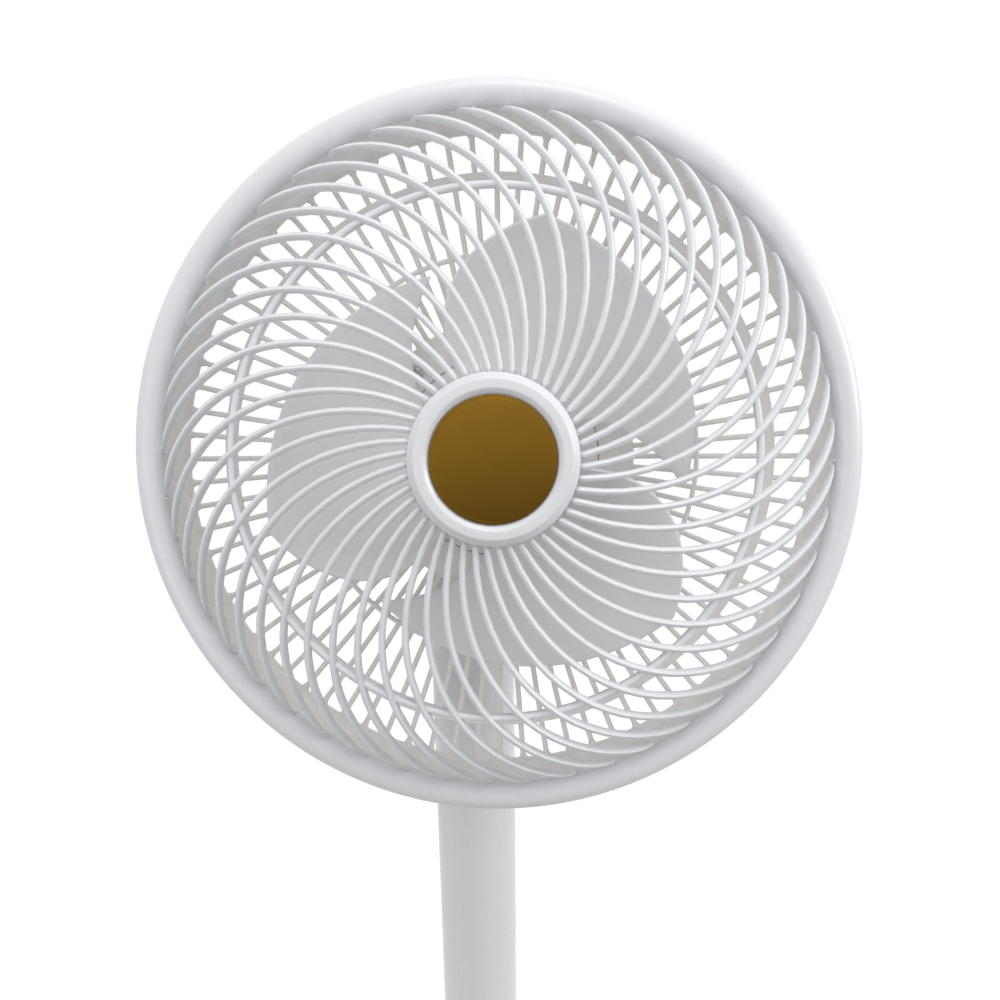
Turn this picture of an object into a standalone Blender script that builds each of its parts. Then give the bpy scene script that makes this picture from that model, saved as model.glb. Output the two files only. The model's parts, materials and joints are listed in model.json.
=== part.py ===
"""A pedestal fan: a round head behind a swirl-ribbed guard, on a panning and tilting neck, a pole and a weighted base.

The fan faces -Y and stands on Z = 0, with the origin on the floor under the middle of it. Lengths are metres; a name
that ends in DEG is in degrees. The head is modelled along its own fan axis, with 0 where the rim is widest and
positive towards the front, and one empty tilts it. Heights on the neck and the stand are heights above the floor.
"""

from math import asin, cos, pi, radians, sin, sqrt

import bmesh
import bpy
from mathutils import Matrix, Vector

MM = 0.001

# --- Fits ---------------------------------------------------------------------------------------

GAP = 0.3 * MM  # between pieces that seat on each other
RUNNING = 0.15 * MM  # round a pin that turns in its bore
BITE = 1.2 * MM  # how far fused shapes reach into each other

# --- Guards -------------------------------------------------------------------------------------

HEAD_RADIUS = 165.0 * MM
RIM_WIDTH = 14.3 * MM
DRUM_WALL = 3.0 * MM
DRUM_DEPTH = 27.0 * MM
DRUM_LEDGE = 0.8 * MM  # how far the outermost slots stop short of the wall
DRUM_LEDGE_RISE = 1.0 * MM
RIM_FRONT = 12.0 * MM
RIM_SKIRT = 13.0 * MM
RIM_WALL = 3.0 * MM
RIM_LIP = 4.6 * MM  # thickness of the rim's inner edge, which holds the rib ends
RIM_SEAM = 2.0 * MM  # where the front guard ends and the rear guard's wall begins

DOME_FOOT = 4.0 * MM
DOME_HEIGHT = 46.0 * MM
DOME_POWER = 3.5
FRONT_RIBS = 48
FRONT_RIB_WIDTH = 3.0 * MM
FRONT_RIB_DEPTH = 4.4 * MM
FRONT_RIB_STEPS = 4
FRONT_RIB_START_DEG = 3.2
FRONT_SWEEP_DEG = 36.5
FRONT_HOOK_DEG = 7.0
FRONT_HOOK_POWER = 3.2
STIFF_RING_INSET = 39.8 * MM  # inside the drum wall
STIFF_RING_WIDTH = 3.0 * MM
STIFF_RING_DEPTH = 4.6 * MM
STIFF_RING_SINK = 1.8 * MM  # how far below the ribs' ridges it starts

HUB_BEZEL = 8.7 * MM  # from the badge's edge to the cap's edge
HUB_CAP_DEPTH = 18.0 * MM
HUB_CAP_WALL = 3.2 * MM
HUB_CAP_PROUD = 6.0 * MM
HUB_CAP_CHAMFER = 2.4 * MM
BADGE_SLOPE = 1.1 * MM  # how far the recess widens towards the front
BADGE_RADIUS = 26.5 * MM
BADGE_RECESS = 2.6 * MM
BADGE_THICK = 1.2 * MM

REAR_RIB_PAIRS = 40
REAR_RIB_WIDTH = 2.6 * MM
REAR_GUARD_THICK = 3.2 * MM
REAR_GUARD_RISE = 20.0 * MM
REAR_PLATE_MARGIN = 1.5 * MM  # outside the motor's flange
REAR_PLATE_BORDER = 2.0 * MM  # between its flat face and the slots
THIN_RING_INSET = 52.8 * MM  # inside the drum wall
THIN_RING_WIDTH = 2.0 * MM
BAND_INSET = 19.2 * MM
BAND_WIDTH = 5.4 * MM
DRUM_FLANGE = 2.5 * MM
DRUM_FLANGE_BACK = 12.5 * MM
SCREW_RADIUS = 1.9 * MM
SCREW_HEAD_RADIUS = 3.8 * MM
SCREW_HEAD_THICK = 2.0 * MM
LOCK_SCREW_RADIUS = 1.3 * MM
LOCK_BOSS_RADIUS = 2.9 * MM
LOCK_HEAD_RADIUS = 3.2 * MM
LOCK_HEAD_THICK = 1.6 * MM

# --- Impeller and motor -------------------------------------------------------------------------

BLADES = 3
BLADE_PEAK_DEG = 78.0
BLADE_TIP_INSET = 42.7 * MM  # inside the drum wall
BLADE_NOSE_DROP = 17.0 * MM  # how much shorter the leading edge is
BLADE_SPAN_DEG = 88.0
BLADE_LEAD_SWEEP_DEG = 42.0
BLADE_TRAIL_SWEEP_DEG = 36.0
BLADE_TRAIL_POWER = 2.5
BLADE_ROOT_PITCH = 50.0 * MM
BLADE_TIP_PITCH = 38.0 * MM
BLADE_CAMBER = 4.0 * MM
BLADE_MIDDLE = -6.0 * MM
BLADE_THICK = 2.4 * MM
BLADE_GRID = (7, 4)
IMPELLER_HUB_RADIUS = 36.0 * MM
IMPELLER_FRONT = 24.0 * MM
IMPELLER_REAR = -34.0 * MM
IMPELLER_WALL = 2.6 * MM
IMPELLER_ROUND = 4.0 * MM
IMPELLER_BOSS_RADIUS = 9.0 * MM
IMPELLER_BOSS_REAR = -16.0 * MM
DRIVE_PIN_RADIUS = 1.3 * MM
DRIVE_SLOT_DEPTH = 5.0 * MM
NUT_RADIUS = 11.5 * MM
NUT_HEIGHT = 10.0 * MM
NUT_GRIPS = 8

SHAFT_RADIUS = 4.0 * MM
SHAFT_IN_NUT = 6.0 * MM
MOTOR_RADIUS = 52.0 * MM
MOTOR_LENGTH = 60.0 * MM
MOTOR_WALL = 2.5 * MM
MOTOR_CORNER = 6.0 * MM
MOTOR_FLANGE_WIDTH = 14.0 * MM
MOTOR_FLANGE_THICK = 2.5 * MM
COVER_THICK = 3.0 * MM
SPIGOT_STEP = 2.0 * MM  # of the front cover's spigot inside the motor's wall
BEARING_RADIUS = 11.0 * MM
BEARING_WIDTH = 7.0 * MM
BEARING_POCKET_WALL = 3.0 * MM
STATOR_ROOM = 9.5 * MM  # between the stator and the motor's wall
STATOR_YOKE = 6.0 * MM
STATOR_TOOTH_LENGTH = 13.8 * MM
STATOR_LENGTH = 18.0 * MM
STATOR_TEETH = 9
STATOR_TOOTH_SHARE = 0.45
STATOR_SEAT_WALL = 2.6 * MM
STATOR_BEHIND_COVER = 12.0 * MM
ROTOR_AIR_GAP = 0.7 * MM
WINDING_HEIGHT = 6.0 * MM
WINDING_FROM_TOOTH = 2.3 * MM
WINDING_FROM_YOKE = 1.0 * MM
WINDING_SWELL = 2.4 * MM
MOTOR_BOARD_REST = 2.0 * MM  # how much of the board's edge lies on the ledge
MOTOR_BOARD_THICK = 1.6 * MM
MOTOR_LEDGE_HEIGHT = 8.0 * MM
MOTOR_LEDGE_WIDTH = 7.5 * MM
GUARD_SCREWS = 4
GUARD_SCREW_INSET = 7.5 * MM  # inside the flange's edge
GUARD_SCREW_BEYOND = 3.0 * MM  # behind the flange
VENT_SLOTS = 12
VENT_WIDTH = 3.0 * MM
VENT_LENGTH = 16.0 * MM

# --- Neck and tilt hinge ------------------------------------------------------------------------

HEAD_TILT_DEG = 14.0
NECK_RISE = 107.0 * MM  # from the pole's top to the tilt axis
TILT_BEHIND_MIDDLE = 0.2 * MM  # from the motor's middle back to the tilt axis
TILT_ROOM = 2.7 * MM  # between the fork's ears and the saddle
HEAD_OFFSET = 16.4 * MM  # the head sits this far to +X of the pole
KNUCKLE_RADIUS = 15.0 * MM
EAR_MARGIN = 1.0 * MM  # of the fork's ears round the knuckle
EAR_COUNTERBORE = 4.0 * MM
KNUCKLE_WIDTH = 22.0 * MM
SADDLE_THICK = 3.0 * MM
SADDLE_LENGTH = 46.0 * MM
SADDLE_WIDTH = 40.0 * MM
SADDLE_EDGE = 3.0 * MM  # of the saddle to the left of the knuckle
BRACKET_SCREW_PITCH = 36.0 * MM
WASHER_INSET = 2.0 * MM  # inside the knuckle's edge
WASHER_THICK = 1.0 * MM
TILT_PIN_RADIUS = 4.0 * MM
TILT_HEAD_RADIUS = 7.0 * MM
TILT_HEAD_THICK = 3.2 * MM
FORK_ROOM = 8.0 * MM  # from the bottom of the ears' circle to the floor of the fork
NECK_FLARE = 6.0 * MM  # from the floor of the fork down to where it is as wide as the pole
NECK_WALL = 2.5 * MM
NECK_ROOF = 3.5 * MM
NECK_STEP = 1.0 * MM  # the shoulder in its bore that the floor seats against
NECK_COVE = 3.0 * MM
NECK_FLOOR_HEIGHT = 15.0 * MM  # above the pole's top
NECK_FLOOR_THICK = 3.0 * MM
PAN_SHOULDER_WIDTH = 1.6 * MM
PAN_PLUG_LENGTH = 15.0 * MM
PAN_DISC_THICK = 3.0 * MM
PAN_GEAR_LIFT = 4.0 * MM
PAN_GEAR_TEETH = 20
PAN_PINION_TEETH = 10
PAN_GEAR_ROOM = 3.82 * MM  # from the pinion's tips to the neck's bore
PAN_GEAR_WALL = 1.82 * MM  # under the gear's teeth
PAN_GEAR_WIDTH = 4.5 * MM
PAN_TOOTH_SHARE = 0.40
TOOTH_ROOT = 1.1  # modules below the pitch line
TOOTH_TIP = 0.85  # modules above it
PAN_CLIP_WIDTH = 2.5 * MM
PAN_CLIP_THICK = 1.5 * MM
PAN_MOTOR_RADIUS = 9.5 * MM
PAN_MOTOR_HEIGHT = 20.0 * MM
PAN_MOTOR_LIFT = 6.0 * MM
PAN_MOTOR_FOOT_ROOM = 1.1 * MM  # between the motor's foot and the clip
PINION_SHAFT_RADIUS = 1.5 * MM

# --- Pole and base ------------------------------------------------------------------------------

POLE_RADIUS = 23.0 * MM
POLE_WALL = 2.0 * MM
POLE_TOP = 598.0 * MM
POLE_SPLIT = 318.0 * MM
COUPLER_LENGTH = 80.0 * MM
COUPLER_WALL = 2.0 * MM
COUPLER_BEAD = 1.2 * MM

BASE_RADIUS = 148.5 * MM
BASE_HEIGHT = 25.0 * MM  # at the top of the rounded edge
BASE_RISE = 6.0 * MM  # from there to where the top meets the socket
BASE_EDGE_ROUND = 10.0 * MM
BASE_WALL = 2.5 * MM
BASE_SKIRT_FOOT = 4.0 * MM
SOCKET_WALL = 5.7 * MM
SOCKET_RISE = 21.0 * MM
SOCKET_FILLET = 6.0 * MM
SOCKET_CHAMFER = 1.5 * MM
SOCKET_FLOOR = 10.0 * MM
SOCKET_LIP = 3.0 * MM
SOCKET_LIP_INSET = 4.0 * MM
PLATE_THICK = 2.0 * MM
BALLAST_FROM_SOCKET = 16.0 * MM
BALLAST_INSET = 26.0 * MM  # inside the base's edge
BALLAST_UNDER_TOP = 14.7 * MM  # what the ballast leaves of the base's height above the feet
FEET = 4
FOOT_HEIGHT = 3.3 * MM
FOOT_RADIUS = 10.0 * MM
FOOT_STEM_RADIUS = 3.0 * MM
FOOT_INSET = 32.0 * MM
BASE_SCREWS = 3
BASE_SCREW_INSET = 16.0 * MM
BASE_SCREW_LENGTH = 14.0 * MM
BASE_BOSS_RADIUS = 4.5 * MM
PLUG_LENGTH = 20.0 * MM
BASE_BOLT_RADIUS = 3.0 * MM
BASE_BOLT_HEAD_RADIUS = 12.0 * MM
BASE_BOLT_HEAD_THICK = 2.6 * MM
BOLT_CHAMFER = 0.8 * MM

BUTTONS = 5
BUTTON_RADIUS = 6.5 * MM
BUTTON_FLANGE = 1.4 * MM
BUTTON_PROUD = 1.4 * MM
BUTTON_PITCH = 20.0 * MM
BUTTON_INSET = 46.0 * MM
BUTTON_TRAVEL = 0.8 * MM
SWITCH_SIDE = 6.0 * MM
SWITCH_HEIGHT = 3.5 * MM
BOARD_THICK = 1.6 * MM
BOARD_DEPTH = 24.0 * MM
TRAY_THICK = 2.0 * MM
INLET_RADIUS = 4.2 * MM
INLET_HEIGHT = 10.6 * MM
INLET_BORE_RADIUS = 2.8 * MM
INLET_PIN_RADIUS = 0.9 * MM
INLET_BODY = (12.0 * MM, 12.0 * MM, 9.0 * MM)

# --- Facets -------------------------------------------------------------------------------------

RIM_SIDES = FRONT_RIBS
BASE_SIDES = 32
LARGE_SIDES = 24
MEDIUM_SIDES = 16
PIN_SIDES = 12
SCREW_SIDES = 6

# --- Places that follow from the sizes ----------------------------------------------------------

POLE_X = -HEAD_OFFSET
TILT = radians(HEAD_TILT_DEG)

DRUM_RADIUS = HEAD_RADIUS - RIM_WIDTH  # inside of the wall that both guards share
STIFF_RING_RADIUS = DRUM_RADIUS - STIFF_RING_INSET
THIN_RING_RADIUS = DRUM_RADIUS - THIN_RING_INSET
BAND_RADIUS = DRUM_RADIUS - BAND_INSET
BLADE_TIP_RADIUS = DRUM_RADIUS - BLADE_TIP_INSET
BLADE_NOSE_RADIUS = BLADE_TIP_RADIUS - BLADE_NOSE_DROP
HUB_CAP_RADIUS = BADGE_RADIUS + HUB_BEZEL
MOTOR_FLANGE_RADIUS = MOTOR_RADIUS + MOTOR_FLANGE_WIDTH
MOTOR_BORE = MOTOR_RADIUS - MOTOR_WALL
MOTOR_LEDGE_RADIUS = MOTOR_BORE - MOTOR_LEDGE_WIDTH
MOTOR_BOARD_RADIUS = MOTOR_LEDGE_RADIUS + MOTOR_BOARD_REST
STATOR_RADIUS = MOTOR_BORE - STATOR_ROOM
STATOR_TIP = STATOR_RADIUS - STATOR_YOKE - STATOR_TOOTH_LENGTH
ROTOR_RADIUS = STATOR_TIP - ROTOR_AIR_GAP
GUARD_SCREW_CIRCLE = MOTOR_FLANGE_RADIUS - GUARD_SCREW_INSET
REAR_PLATE_RADIUS = MOTOR_FLANGE_RADIUS + REAR_PLATE_MARGIN
REAR_PLATE_BORE = MOTOR_RADIUS - SPIGOT_STEP

PLATE_FRONT = -(DRUM_DEPTH + REAR_GUARD_RISE)
PLATE_BACK = PLATE_FRONT - REAR_GUARD_THICK
COVER_FRONT = PLATE_BACK - GAP
COVER_BACK = COVER_FRONT - COVER_THICK
MOTOR_FRONT = COVER_BACK - GAP
MOTOR_BACK = MOTOR_FRONT - MOTOR_LENGTH
STATOR_FRONT = COVER_BACK - STATOR_BEHIND_COVER
STATOR_BACK = STATOR_FRONT - STATOR_LENGTH
FRONT_BEARING_BACK = COVER_BACK - BEARING_WIDTH + COVER_THICK
REAR_BEARING_FRONT = MOTOR_BACK + MOTOR_WALL + GAP + BEARING_WIDTH
HUB_CAP_FRONT = DOME_FOOT + DOME_HEIGHT + HUB_CAP_PROUD
EAR_RADIUS = KNUCKLE_RADIUS + EAR_MARGIN
WASHER_RADIUS = KNUCKLE_RADIUS - WASHER_INSET
TILT_AXIS_HEIGHT = POLE_TOP + NECK_RISE
TILT_AXIS_BEHIND = MOTOR_LENGTH / 2 - MOTOR_FRONT + TILT_BEHIND_MIDDLE
TILT_AXIS_BELOW = MOTOR_RADIUS + GAP + SADDLE_THICK + TILT_ROOM + EAR_RADIUS
NECK_BOTTOM = POLE_TOP + GAP
FORK_FLOOR = TILT_AXIS_HEIGHT - EAR_RADIUS - FORK_ROOM
FORK_HALF = KNUCKLE_WIDTH / 2 + WASHER_THICK + 2 * GAP
NECK_BORE = POLE_RADIUS - NECK_WALL
POLE_BORE = POLE_RADIUS - POLE_WALL
PAN_GEAR_BOTTOM = POLE_TOP + PAN_DISC_THICK + PAN_GEAR_LIFT
NECK_FLOOR = POLE_TOP + NECK_FLOOR_HEIGHT
NECK_FLOOR_TOP = NECK_FLOOR + NECK_FLOOR_THICK
PAN_GEAR_MODULE = (NECK_BORE - PAN_GEAR_ROOM) / (PAN_GEAR_TEETH / 2 + PAN_PINION_TEETH + TOOTH_TIP)
PAN_POST_RADIUS = (PAN_GEAR_TEETH / 2 - TOOTH_ROOT) * PAN_GEAR_MODULE - PAN_GEAR_WALL - GAP
PAN_SHOULDER_RADIUS = PAN_POST_RADIUS + PAN_SHOULDER_WIDTH
PAN_CLIP_RADIUS = PAN_POST_RADIUS + PAN_CLIP_WIDTH
PAN_CENTRES = (PAN_GEAR_TEETH + PAN_PINION_TEETH) / 2 * PAN_GEAR_MODULE
PAN_MOTOR_FOOT_RADIUS = PAN_CENTRES - PAN_CLIP_RADIUS - PAN_MOTOR_FOOT_ROOM
SOCKET_BORE = POLE_RADIUS + GAP
SOCKET_RADIUS = SOCKET_BORE + SOCKET_WALL
BASE_CROWN = BASE_HEIGHT + BASE_RISE  # where the top would meet the socket, without their fillet
SOCKET_TOP = BASE_CROWN + SOCKET_RISE
FOOT_CIRCLE = BASE_RADIUS - FOOT_INSET
BASE_SCREW_CIRCLE = BASE_RADIUS - BASE_SCREW_INSET
BUTTON_CIRCLE = BASE_RADIUS - BUTTON_INSET
BALLAST_INNER = SOCKET_RADIUS + BALLAST_FROM_SOCKET
BALLAST_OUTER = BASE_RADIUS - BALLAST_INSET
BALLAST_THICK = BASE_HEIGHT - FOOT_HEIGHT - BALLAST_UNDER_TOP
PLATE_BOTTOM = FOOT_HEIGHT + GAP
PLATE_TOP = PLATE_BOTTOM + PLATE_THICK
BALLAST_BOTTOM = PLATE_TOP + GAP
BALLAST_TOP = BALLAST_BOTTOM + BALLAST_THICK
TRAY_BOTTOM = BALLAST_TOP + GAP
BOARD_BOTTOM = TRAY_BOTTOM + TRAY_THICK + GAP
SWITCH_TOP = BOARD_BOTTOM + BOARD_THICK + SWITCH_HEIGHT
LOCK_SCREW_CIRCLE = (DRUM_RADIUS + DRUM_WALL + HEAD_RADIUS - RIM_WALL) / 2


# --- Shape tools --------------------------------------------------------------------------------


def clear_scene():
    for thing in list(bpy.data.objects):
        bpy.data.objects.remove(thing, do_unlink=True)


def finish(name, colour, roughness, metallic=0.0):
    made = bpy.data.materials.new(name)
    made.use_nodes = True
    shader = made.node_tree.nodes["Principled BSDF"]
    shader.inputs["Base Color"].default_value = (*colour, 1.0)
    shader.inputs["Roughness"].default_value = roughness
    shader.inputs["Metallic"].default_value = metallic
    made.diffuse_color = (*colour, 1.0)
    return made


def frame(name, parent=None, at=(0, 0, 0), turn=None):
    """An empty that carries pieces, on the axis they move about."""
    empty = bpy.data.objects.new(name, None)
    empty.empty_display_size = 0.03
    bpy.context.scene.collection.objects.link(empty)
    empty.parent = parent
    empty.location = at
    if turn is not None:
        empty.rotation_euler = turn
    return empty


def facing_out(bm):
    """The same shape with every face pointing out."""
    bmesh.ops.recalc_face_normals(bm, faces=bm.faces)
    if bm.calc_volume(signed=True) < 0:
        bmesh.ops.reverse_faces(bm, faces=bm.faces)
    return bm


def piece(name, bm, coat, parent=None, at=(0, 0, 0)):
    """A finished shape as a named object; the mesh is in its parent's axes."""
    facing_out(bm)
    mesh = bpy.data.meshes.new(name)
    bm.to_mesh(mesh)
    bm.free()
    mesh.shade_smooth()
    mesh.set_sharp_from_angle(angle=radians(32))
    mesh.materials.append(coat)
    made = bpy.data.objects.new(name, mesh)
    bpy.context.scene.collection.objects.link(made)
    made.parent = parent
    made.location = at
    return made


def lathe(outline, sides):
    """A closed outline of (radius, height) points turned about Z. Points at radius 0 close on the axis."""
    bm = bmesh.new()
    points = [bm.verts.new((radius, 0, height)) for radius, height in outline]
    edges = []
    for here, (radius, _) in enumerate(outline):
        after = (here + 1) % len(outline)
        if radius > 0 or outline[after][0] > 0:
            edges.append(bm.edges.new((points[here], points[after])))
    bmesh.ops.spin(
        bm, geom=points + edges, cent=(0, 0, 0), axis=(0, 0, 1), angle=2 * pi, steps=sides, use_merge=True
    )
    bmesh.ops.remove_doubles(bm, verts=bm.verts, dist=1e-7)
    return facing_out(bm)


def disc(radius, low, high, sides):
    return lathe([(0, low), (radius, low), (radius, high), (0, high)], sides)


def turned(bm, angle):
    return moved(bm, Matrix.Rotation(angle, 4, "Z"))


def ring(inner, outer, low, high, sides):
    return lathe([(inner, low), (outer, low), (outer, high), (inner, high)], sides)


def loft(loops):
    """A closed ring of loops, each a list of points: one loop to the next, and the last to the first."""
    bm = bmesh.new()
    rows = [[bm.verts.new(point) for point in loop] for loop in loops]
    for here, row in enumerate(rows):
        after = rows[(here + 1) % len(rows)]
        for i in range(len(row)):
            j = (i + 1) % len(row)
            bm.faces.new((row[i], row[j], after[j], after[i]))
    return facing_out(bm)


def prism(outline, low, high):
    """A flat outline of (x, y) points, extruded along Z."""
    bm = bmesh.new()
    floor = bm.faces.new([bm.verts.new((x, y, low)) for x, y in outline])
    grown = bmesh.ops.extrude_face_region(bm, geom=[floor])["geom"]
    corners = [item for item in grown if isinstance(item, bmesh.types.BMVert)]
    bmesh.ops.translate(bm, verts=corners, vec=(0, 0, high - low))
    return facing_out(bm)


def block(low, high):
    outline = [(low[0], low[1]), (high[0], low[1]), (high[0], high[1]), (low[0], high[1])]
    return prism(outline, low[2], high[2])


def moved(bm, matrix):
    bmesh.ops.transform(bm, matrix=matrix, verts=bm.verts)
    return bm


def along_x(bm):
    """Turns a shape made along Z so that it lies along X."""
    return moved(bm, Matrix.Rotation(pi / 2, 4, "Y"))


def along_y(bm):
    """Turns a shape made along Z so that its top faces -Y."""
    return moved(bm, Matrix.Rotation(pi / 2, 4, "X"))


def placed(bm, x=0.0, y=0.0, z=0.0):
    return moved(bm, Matrix.Translation((x, y, z)))


def together(shapes):
    """Several shapes that don't touch each other, as one mesh."""
    whole = bmesh.new()
    for shape in shapes:
        scratch = bpy.data.meshes.new("scratch")
        shape.to_mesh(scratch)
        shape.free()
        whole.from_mesh(scratch)
        bpy.data.meshes.remove(scratch)
    return whole


def boolean(body, tool, operation):
    """body with tool joined to it, cut from it or kept in common with it."""
    held = []
    for label, shape in (("body", body), ("tool", tool)):
        mesh = bpy.data.meshes.new(label)
        shape.to_mesh(mesh)
        shape.free()
        thing = bpy.data.objects.new(label, mesh)
        bpy.context.scene.collection.objects.link(thing)
        held.append(thing)
    change = held[0].modifiers.new("join", "BOOLEAN")
    change.operation = operation
    change.object = held[1]
    bpy.context.view_layer.update()
    result = bpy.data.meshes.new_from_object(held[0].evaluated_get(bpy.context.evaluated_depsgraph_get()))
    made = bmesh.new()
    made.from_mesh(result)
    bpy.data.meshes.remove(result)
    for thing in held:
        mesh = thing.data
        bpy.data.objects.remove(thing, do_unlink=True)
        bpy.data.meshes.remove(mesh)
    bmesh.ops.remove_doubles(made, verts=made.verts, dist=1e-7)
    return made


def joined(body, *tools):
    for tool in tools:
        body = boolean(body, tool, "UNION")
    return body


def cut(body, *tools):
    for tool in tools:
        body = boolean(body, tool, "DIFFERENCE")
    return body


def arc(centre, radius, start, end, steps):
    """Points on a circle, from one angle in degrees to another, ends included."""
    turns = [radians(start + (end - start) * step / steps) for step in range(steps + 1)]
    return [(centre[0] + radius * cos(turn), centre[1] + radius * sin(turn)) for turn in turns]


def polar(radius, angle, height=0.0):
    return Vector((radius * cos(angle), radius * sin(angle), height))


def spread(count, start_deg=0.0):
    return [radians(start_deg) + 2 * pi * step / count for step in range(count)]


def gear(teeth, module, bore, low, high, share, turn):
    """A spur gear with tapered teeth and a round bore. share is a tooth's part of the pitch at mid height."""
    pitch = 2 * pi / teeth
    root, tip = (teeth / 2 - TOOTH_ROOT) * module, (teeth / 2 + TOOTH_TIP) * module
    outline = []
    for tooth in range(teeth):
        middle = turn + tooth * pitch
        for radius, offset in ((root, -0.10), (tip, 0.11), (tip, -0.11), (root, 0.10)):
            side = -1 if len(outline) % 4 < 2 else 1
            outline.append(polar(radius, middle + (side * share / 2 + offset) * pitch).xy)
    blank = prism(outline, low, high)
    return cut(blank, disc(bore, low - BITE, high + BITE, PIN_SIDES)) if bore else blank


# --- Guards -------------------------------------------------------------------------------------


def dome_height(radius):
    """Height of the ribs' ridges above the rim plane."""
    share = min(radius / (DRUM_RADIUS + BITE), 1.0)
    return DOME_FOOT + DOME_HEIGHT * sqrt(1 - share**DOME_POWER)


def rib_angle(radius):
    """How far a front rib has swept round by this radius."""
    share = (radius - HUB_CAP_RADIUS) / (DRUM_RADIUS - HUB_CAP_RADIUS)
    return radians(FRONT_RIB_START_DEG + FRONT_SWEEP_DEG * share + FRONT_HOOK_DEG * max(share, 0) ** FRONT_HOOK_POWER)


def rib_path(turn):
    """Points along the ridge of one front rib, closer together where the dome falls away."""
    first = HUB_CAP_RADIUS - HUB_CAP_WALL / 2
    last = DRUM_RADIUS + RIM_LIP / 2
    points = []
    for step in range(FRONT_RIB_STEPS + 1):
        share = sin(step / FRONT_RIB_STEPS * pi / 2) ** 0.9
        radius = first + (last - first) * share
        points.append(polar(radius, turn + rib_angle(radius), dome_height(radius)))
    return points


def front_rib(turn):
    """One swirl rib: a wedge with its ridge in front, square to the dome all along."""
    path = rib_path(turn)
    loops = []
    for here, point in enumerate(path):
        along = (path[min(here + 1, len(path) - 1)] - path[max(here - 1, 0)]).normalized()
        outward = Vector((point.x, point.y, 0)).normalized()
        rise = Vector((0, 0, 1)) if here < len(path) - 1 else outward
        lean = point.xy.length / (DRUM_RADIUS + BITE)
        normal = (rise + outward * lean**4).normalized()
        normal = (normal - along * normal.dot(along)).normalized()
        side = along.cross(normal)
        foot = point - normal * FRONT_RIB_DEPTH
        loops.append([point, foot + side * FRONT_RIB_WIDTH / 2, foot - side * FRONT_RIB_WIDTH / 2])
    bm = bmesh.new()
    rows = [[bm.verts.new(corner) for corner in loop] for loop in loops]
    for row, after in zip(rows, rows[1:]):
        for i in range(3):
            j = (i + 1) % 3
            bm.faces.new((row[i], row[j], after[j], after[i]))
    bm.faces.new(rows[0])
    bm.faces.new(rows[-1][::-1])
    return facing_out(bm)


def front_guard(coat, parent):
    crest = (DRUM_RADIUS + HEAD_RADIUS) / 2
    half = (HEAD_RADIUS - DRUM_RADIUS) / 2
    shoulder = RIM_FRONT - half
    outer = [(crest + half * cos(t), shoulder + half * sin(t)) for t in map(radians, (0, 60, 120, 180))]
    inside = half - RIM_WALL
    inner = [(crest + inside * cos(t), shoulder + inside * sin(t)) for t in map(radians, (135, 60, 0))]
    rim = lathe(
        [(HEAD_RADIUS - RIM_WALL, -RIM_SKIRT), (HEAD_RADIUS, -RIM_SKIRT)]
        + outer
        + [(DRUM_RADIUS, RIM_SEAM), (DRUM_RADIUS + RIM_LIP, RIM_SEAM)]
        + inner[1:],
        RIM_SIDES,
    )
    floor = HUB_CAP_FRONT - BADGE_RECESS
    bore = HUB_CAP_RADIUS - HUB_CAP_WALL
    hub = lathe(
        [
            (bore, HUB_CAP_FRONT - HUB_CAP_DEPTH),
            (HUB_CAP_RADIUS, HUB_CAP_FRONT - HUB_CAP_DEPTH),
            (HUB_CAP_RADIUS, HUB_CAP_FRONT - HUB_CAP_CHAMFER),
            (HUB_CAP_RADIUS - HUB_CAP_CHAMFER, HUB_CAP_FRONT),
            (BADGE_RADIUS + GAP + BADGE_SLOPE, HUB_CAP_FRONT),
            (BADGE_RADIUS + GAP, floor),
            (0, floor),
            (0, floor - HUB_CAP_WALL),
            (bore, floor - HUB_CAP_WALL),
        ],
        LARGE_SIDES,
    )
    ring_front = dome_height(STIFF_RING_RADIUS) - STIFF_RING_SINK
    stiff = lathe(
        [
            (STIFF_RING_RADIUS, ring_front - STIFF_RING_DEPTH),
            (STIFF_RING_RADIUS + STIFF_RING_WIDTH / 2, ring_front),
            (STIFF_RING_RADIUS - STIFF_RING_WIDTH / 2, ring_front),
        ],
        RIM_SIDES,
    )
    boss_foot = -DRUM_FLANGE_BACK + DRUM_FLANGE + GAP
    boss = placed(disc(LOCK_BOSS_RADIUS, boss_foot, RIM_FRONT - RIM_WALL + BITE, SCREW_SIDES), y=-LOCK_SCREW_CIRCLE)
    pilot = placed(disc(LOCK_SCREW_RADIUS + RUNNING, boss_foot - BITE, BITE, SCREW_SIDES), y=-LOCK_SCREW_CIRCLE)
    ribs = together([front_rib(turn) for turn in spread(FRONT_RIBS)])
    half_side = pi / RIM_SIDES
    turned(rim, rib_angle(DRUM_RADIUS + BITE) - half_side)
    turned(stiff, rib_angle(STIFF_RING_RADIUS) - half_side)
    turned(hub, rib_angle(HUB_CAP_RADIUS))
    guard = joined(together([rim, hub, stiff]), together([ribs, boss]))
    return piece("front_guard", cut(guard, pilot), coat, parent)


def badge_disc(coat, parent):
    floor = HUB_CAP_FRONT - BADGE_RECESS + GAP
    shape = lathe(
        [
            (0, floor),
            (BADGE_RADIUS, floor),
            (BADGE_RADIUS, floor + BADGE_THICK - 0.3 * MM),
            (BADGE_RADIUS - 0.3 * MM, floor + BADGE_THICK),
            (0, floor + BADGE_THICK),
        ],
        LARGE_SIDES,
    )
    return piece("badge_disc", shape, coat, parent)


def rear_front_face(radius):
    """Height of the rear guard's front face, a shallow cone that falls towards the middle."""
    share = (DRUM_RADIUS - radius) / (DRUM_RADIUS - REAR_PLATE_RADIUS)
    return -DRUM_DEPTH - REAR_GUARD_RISE * share


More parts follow.
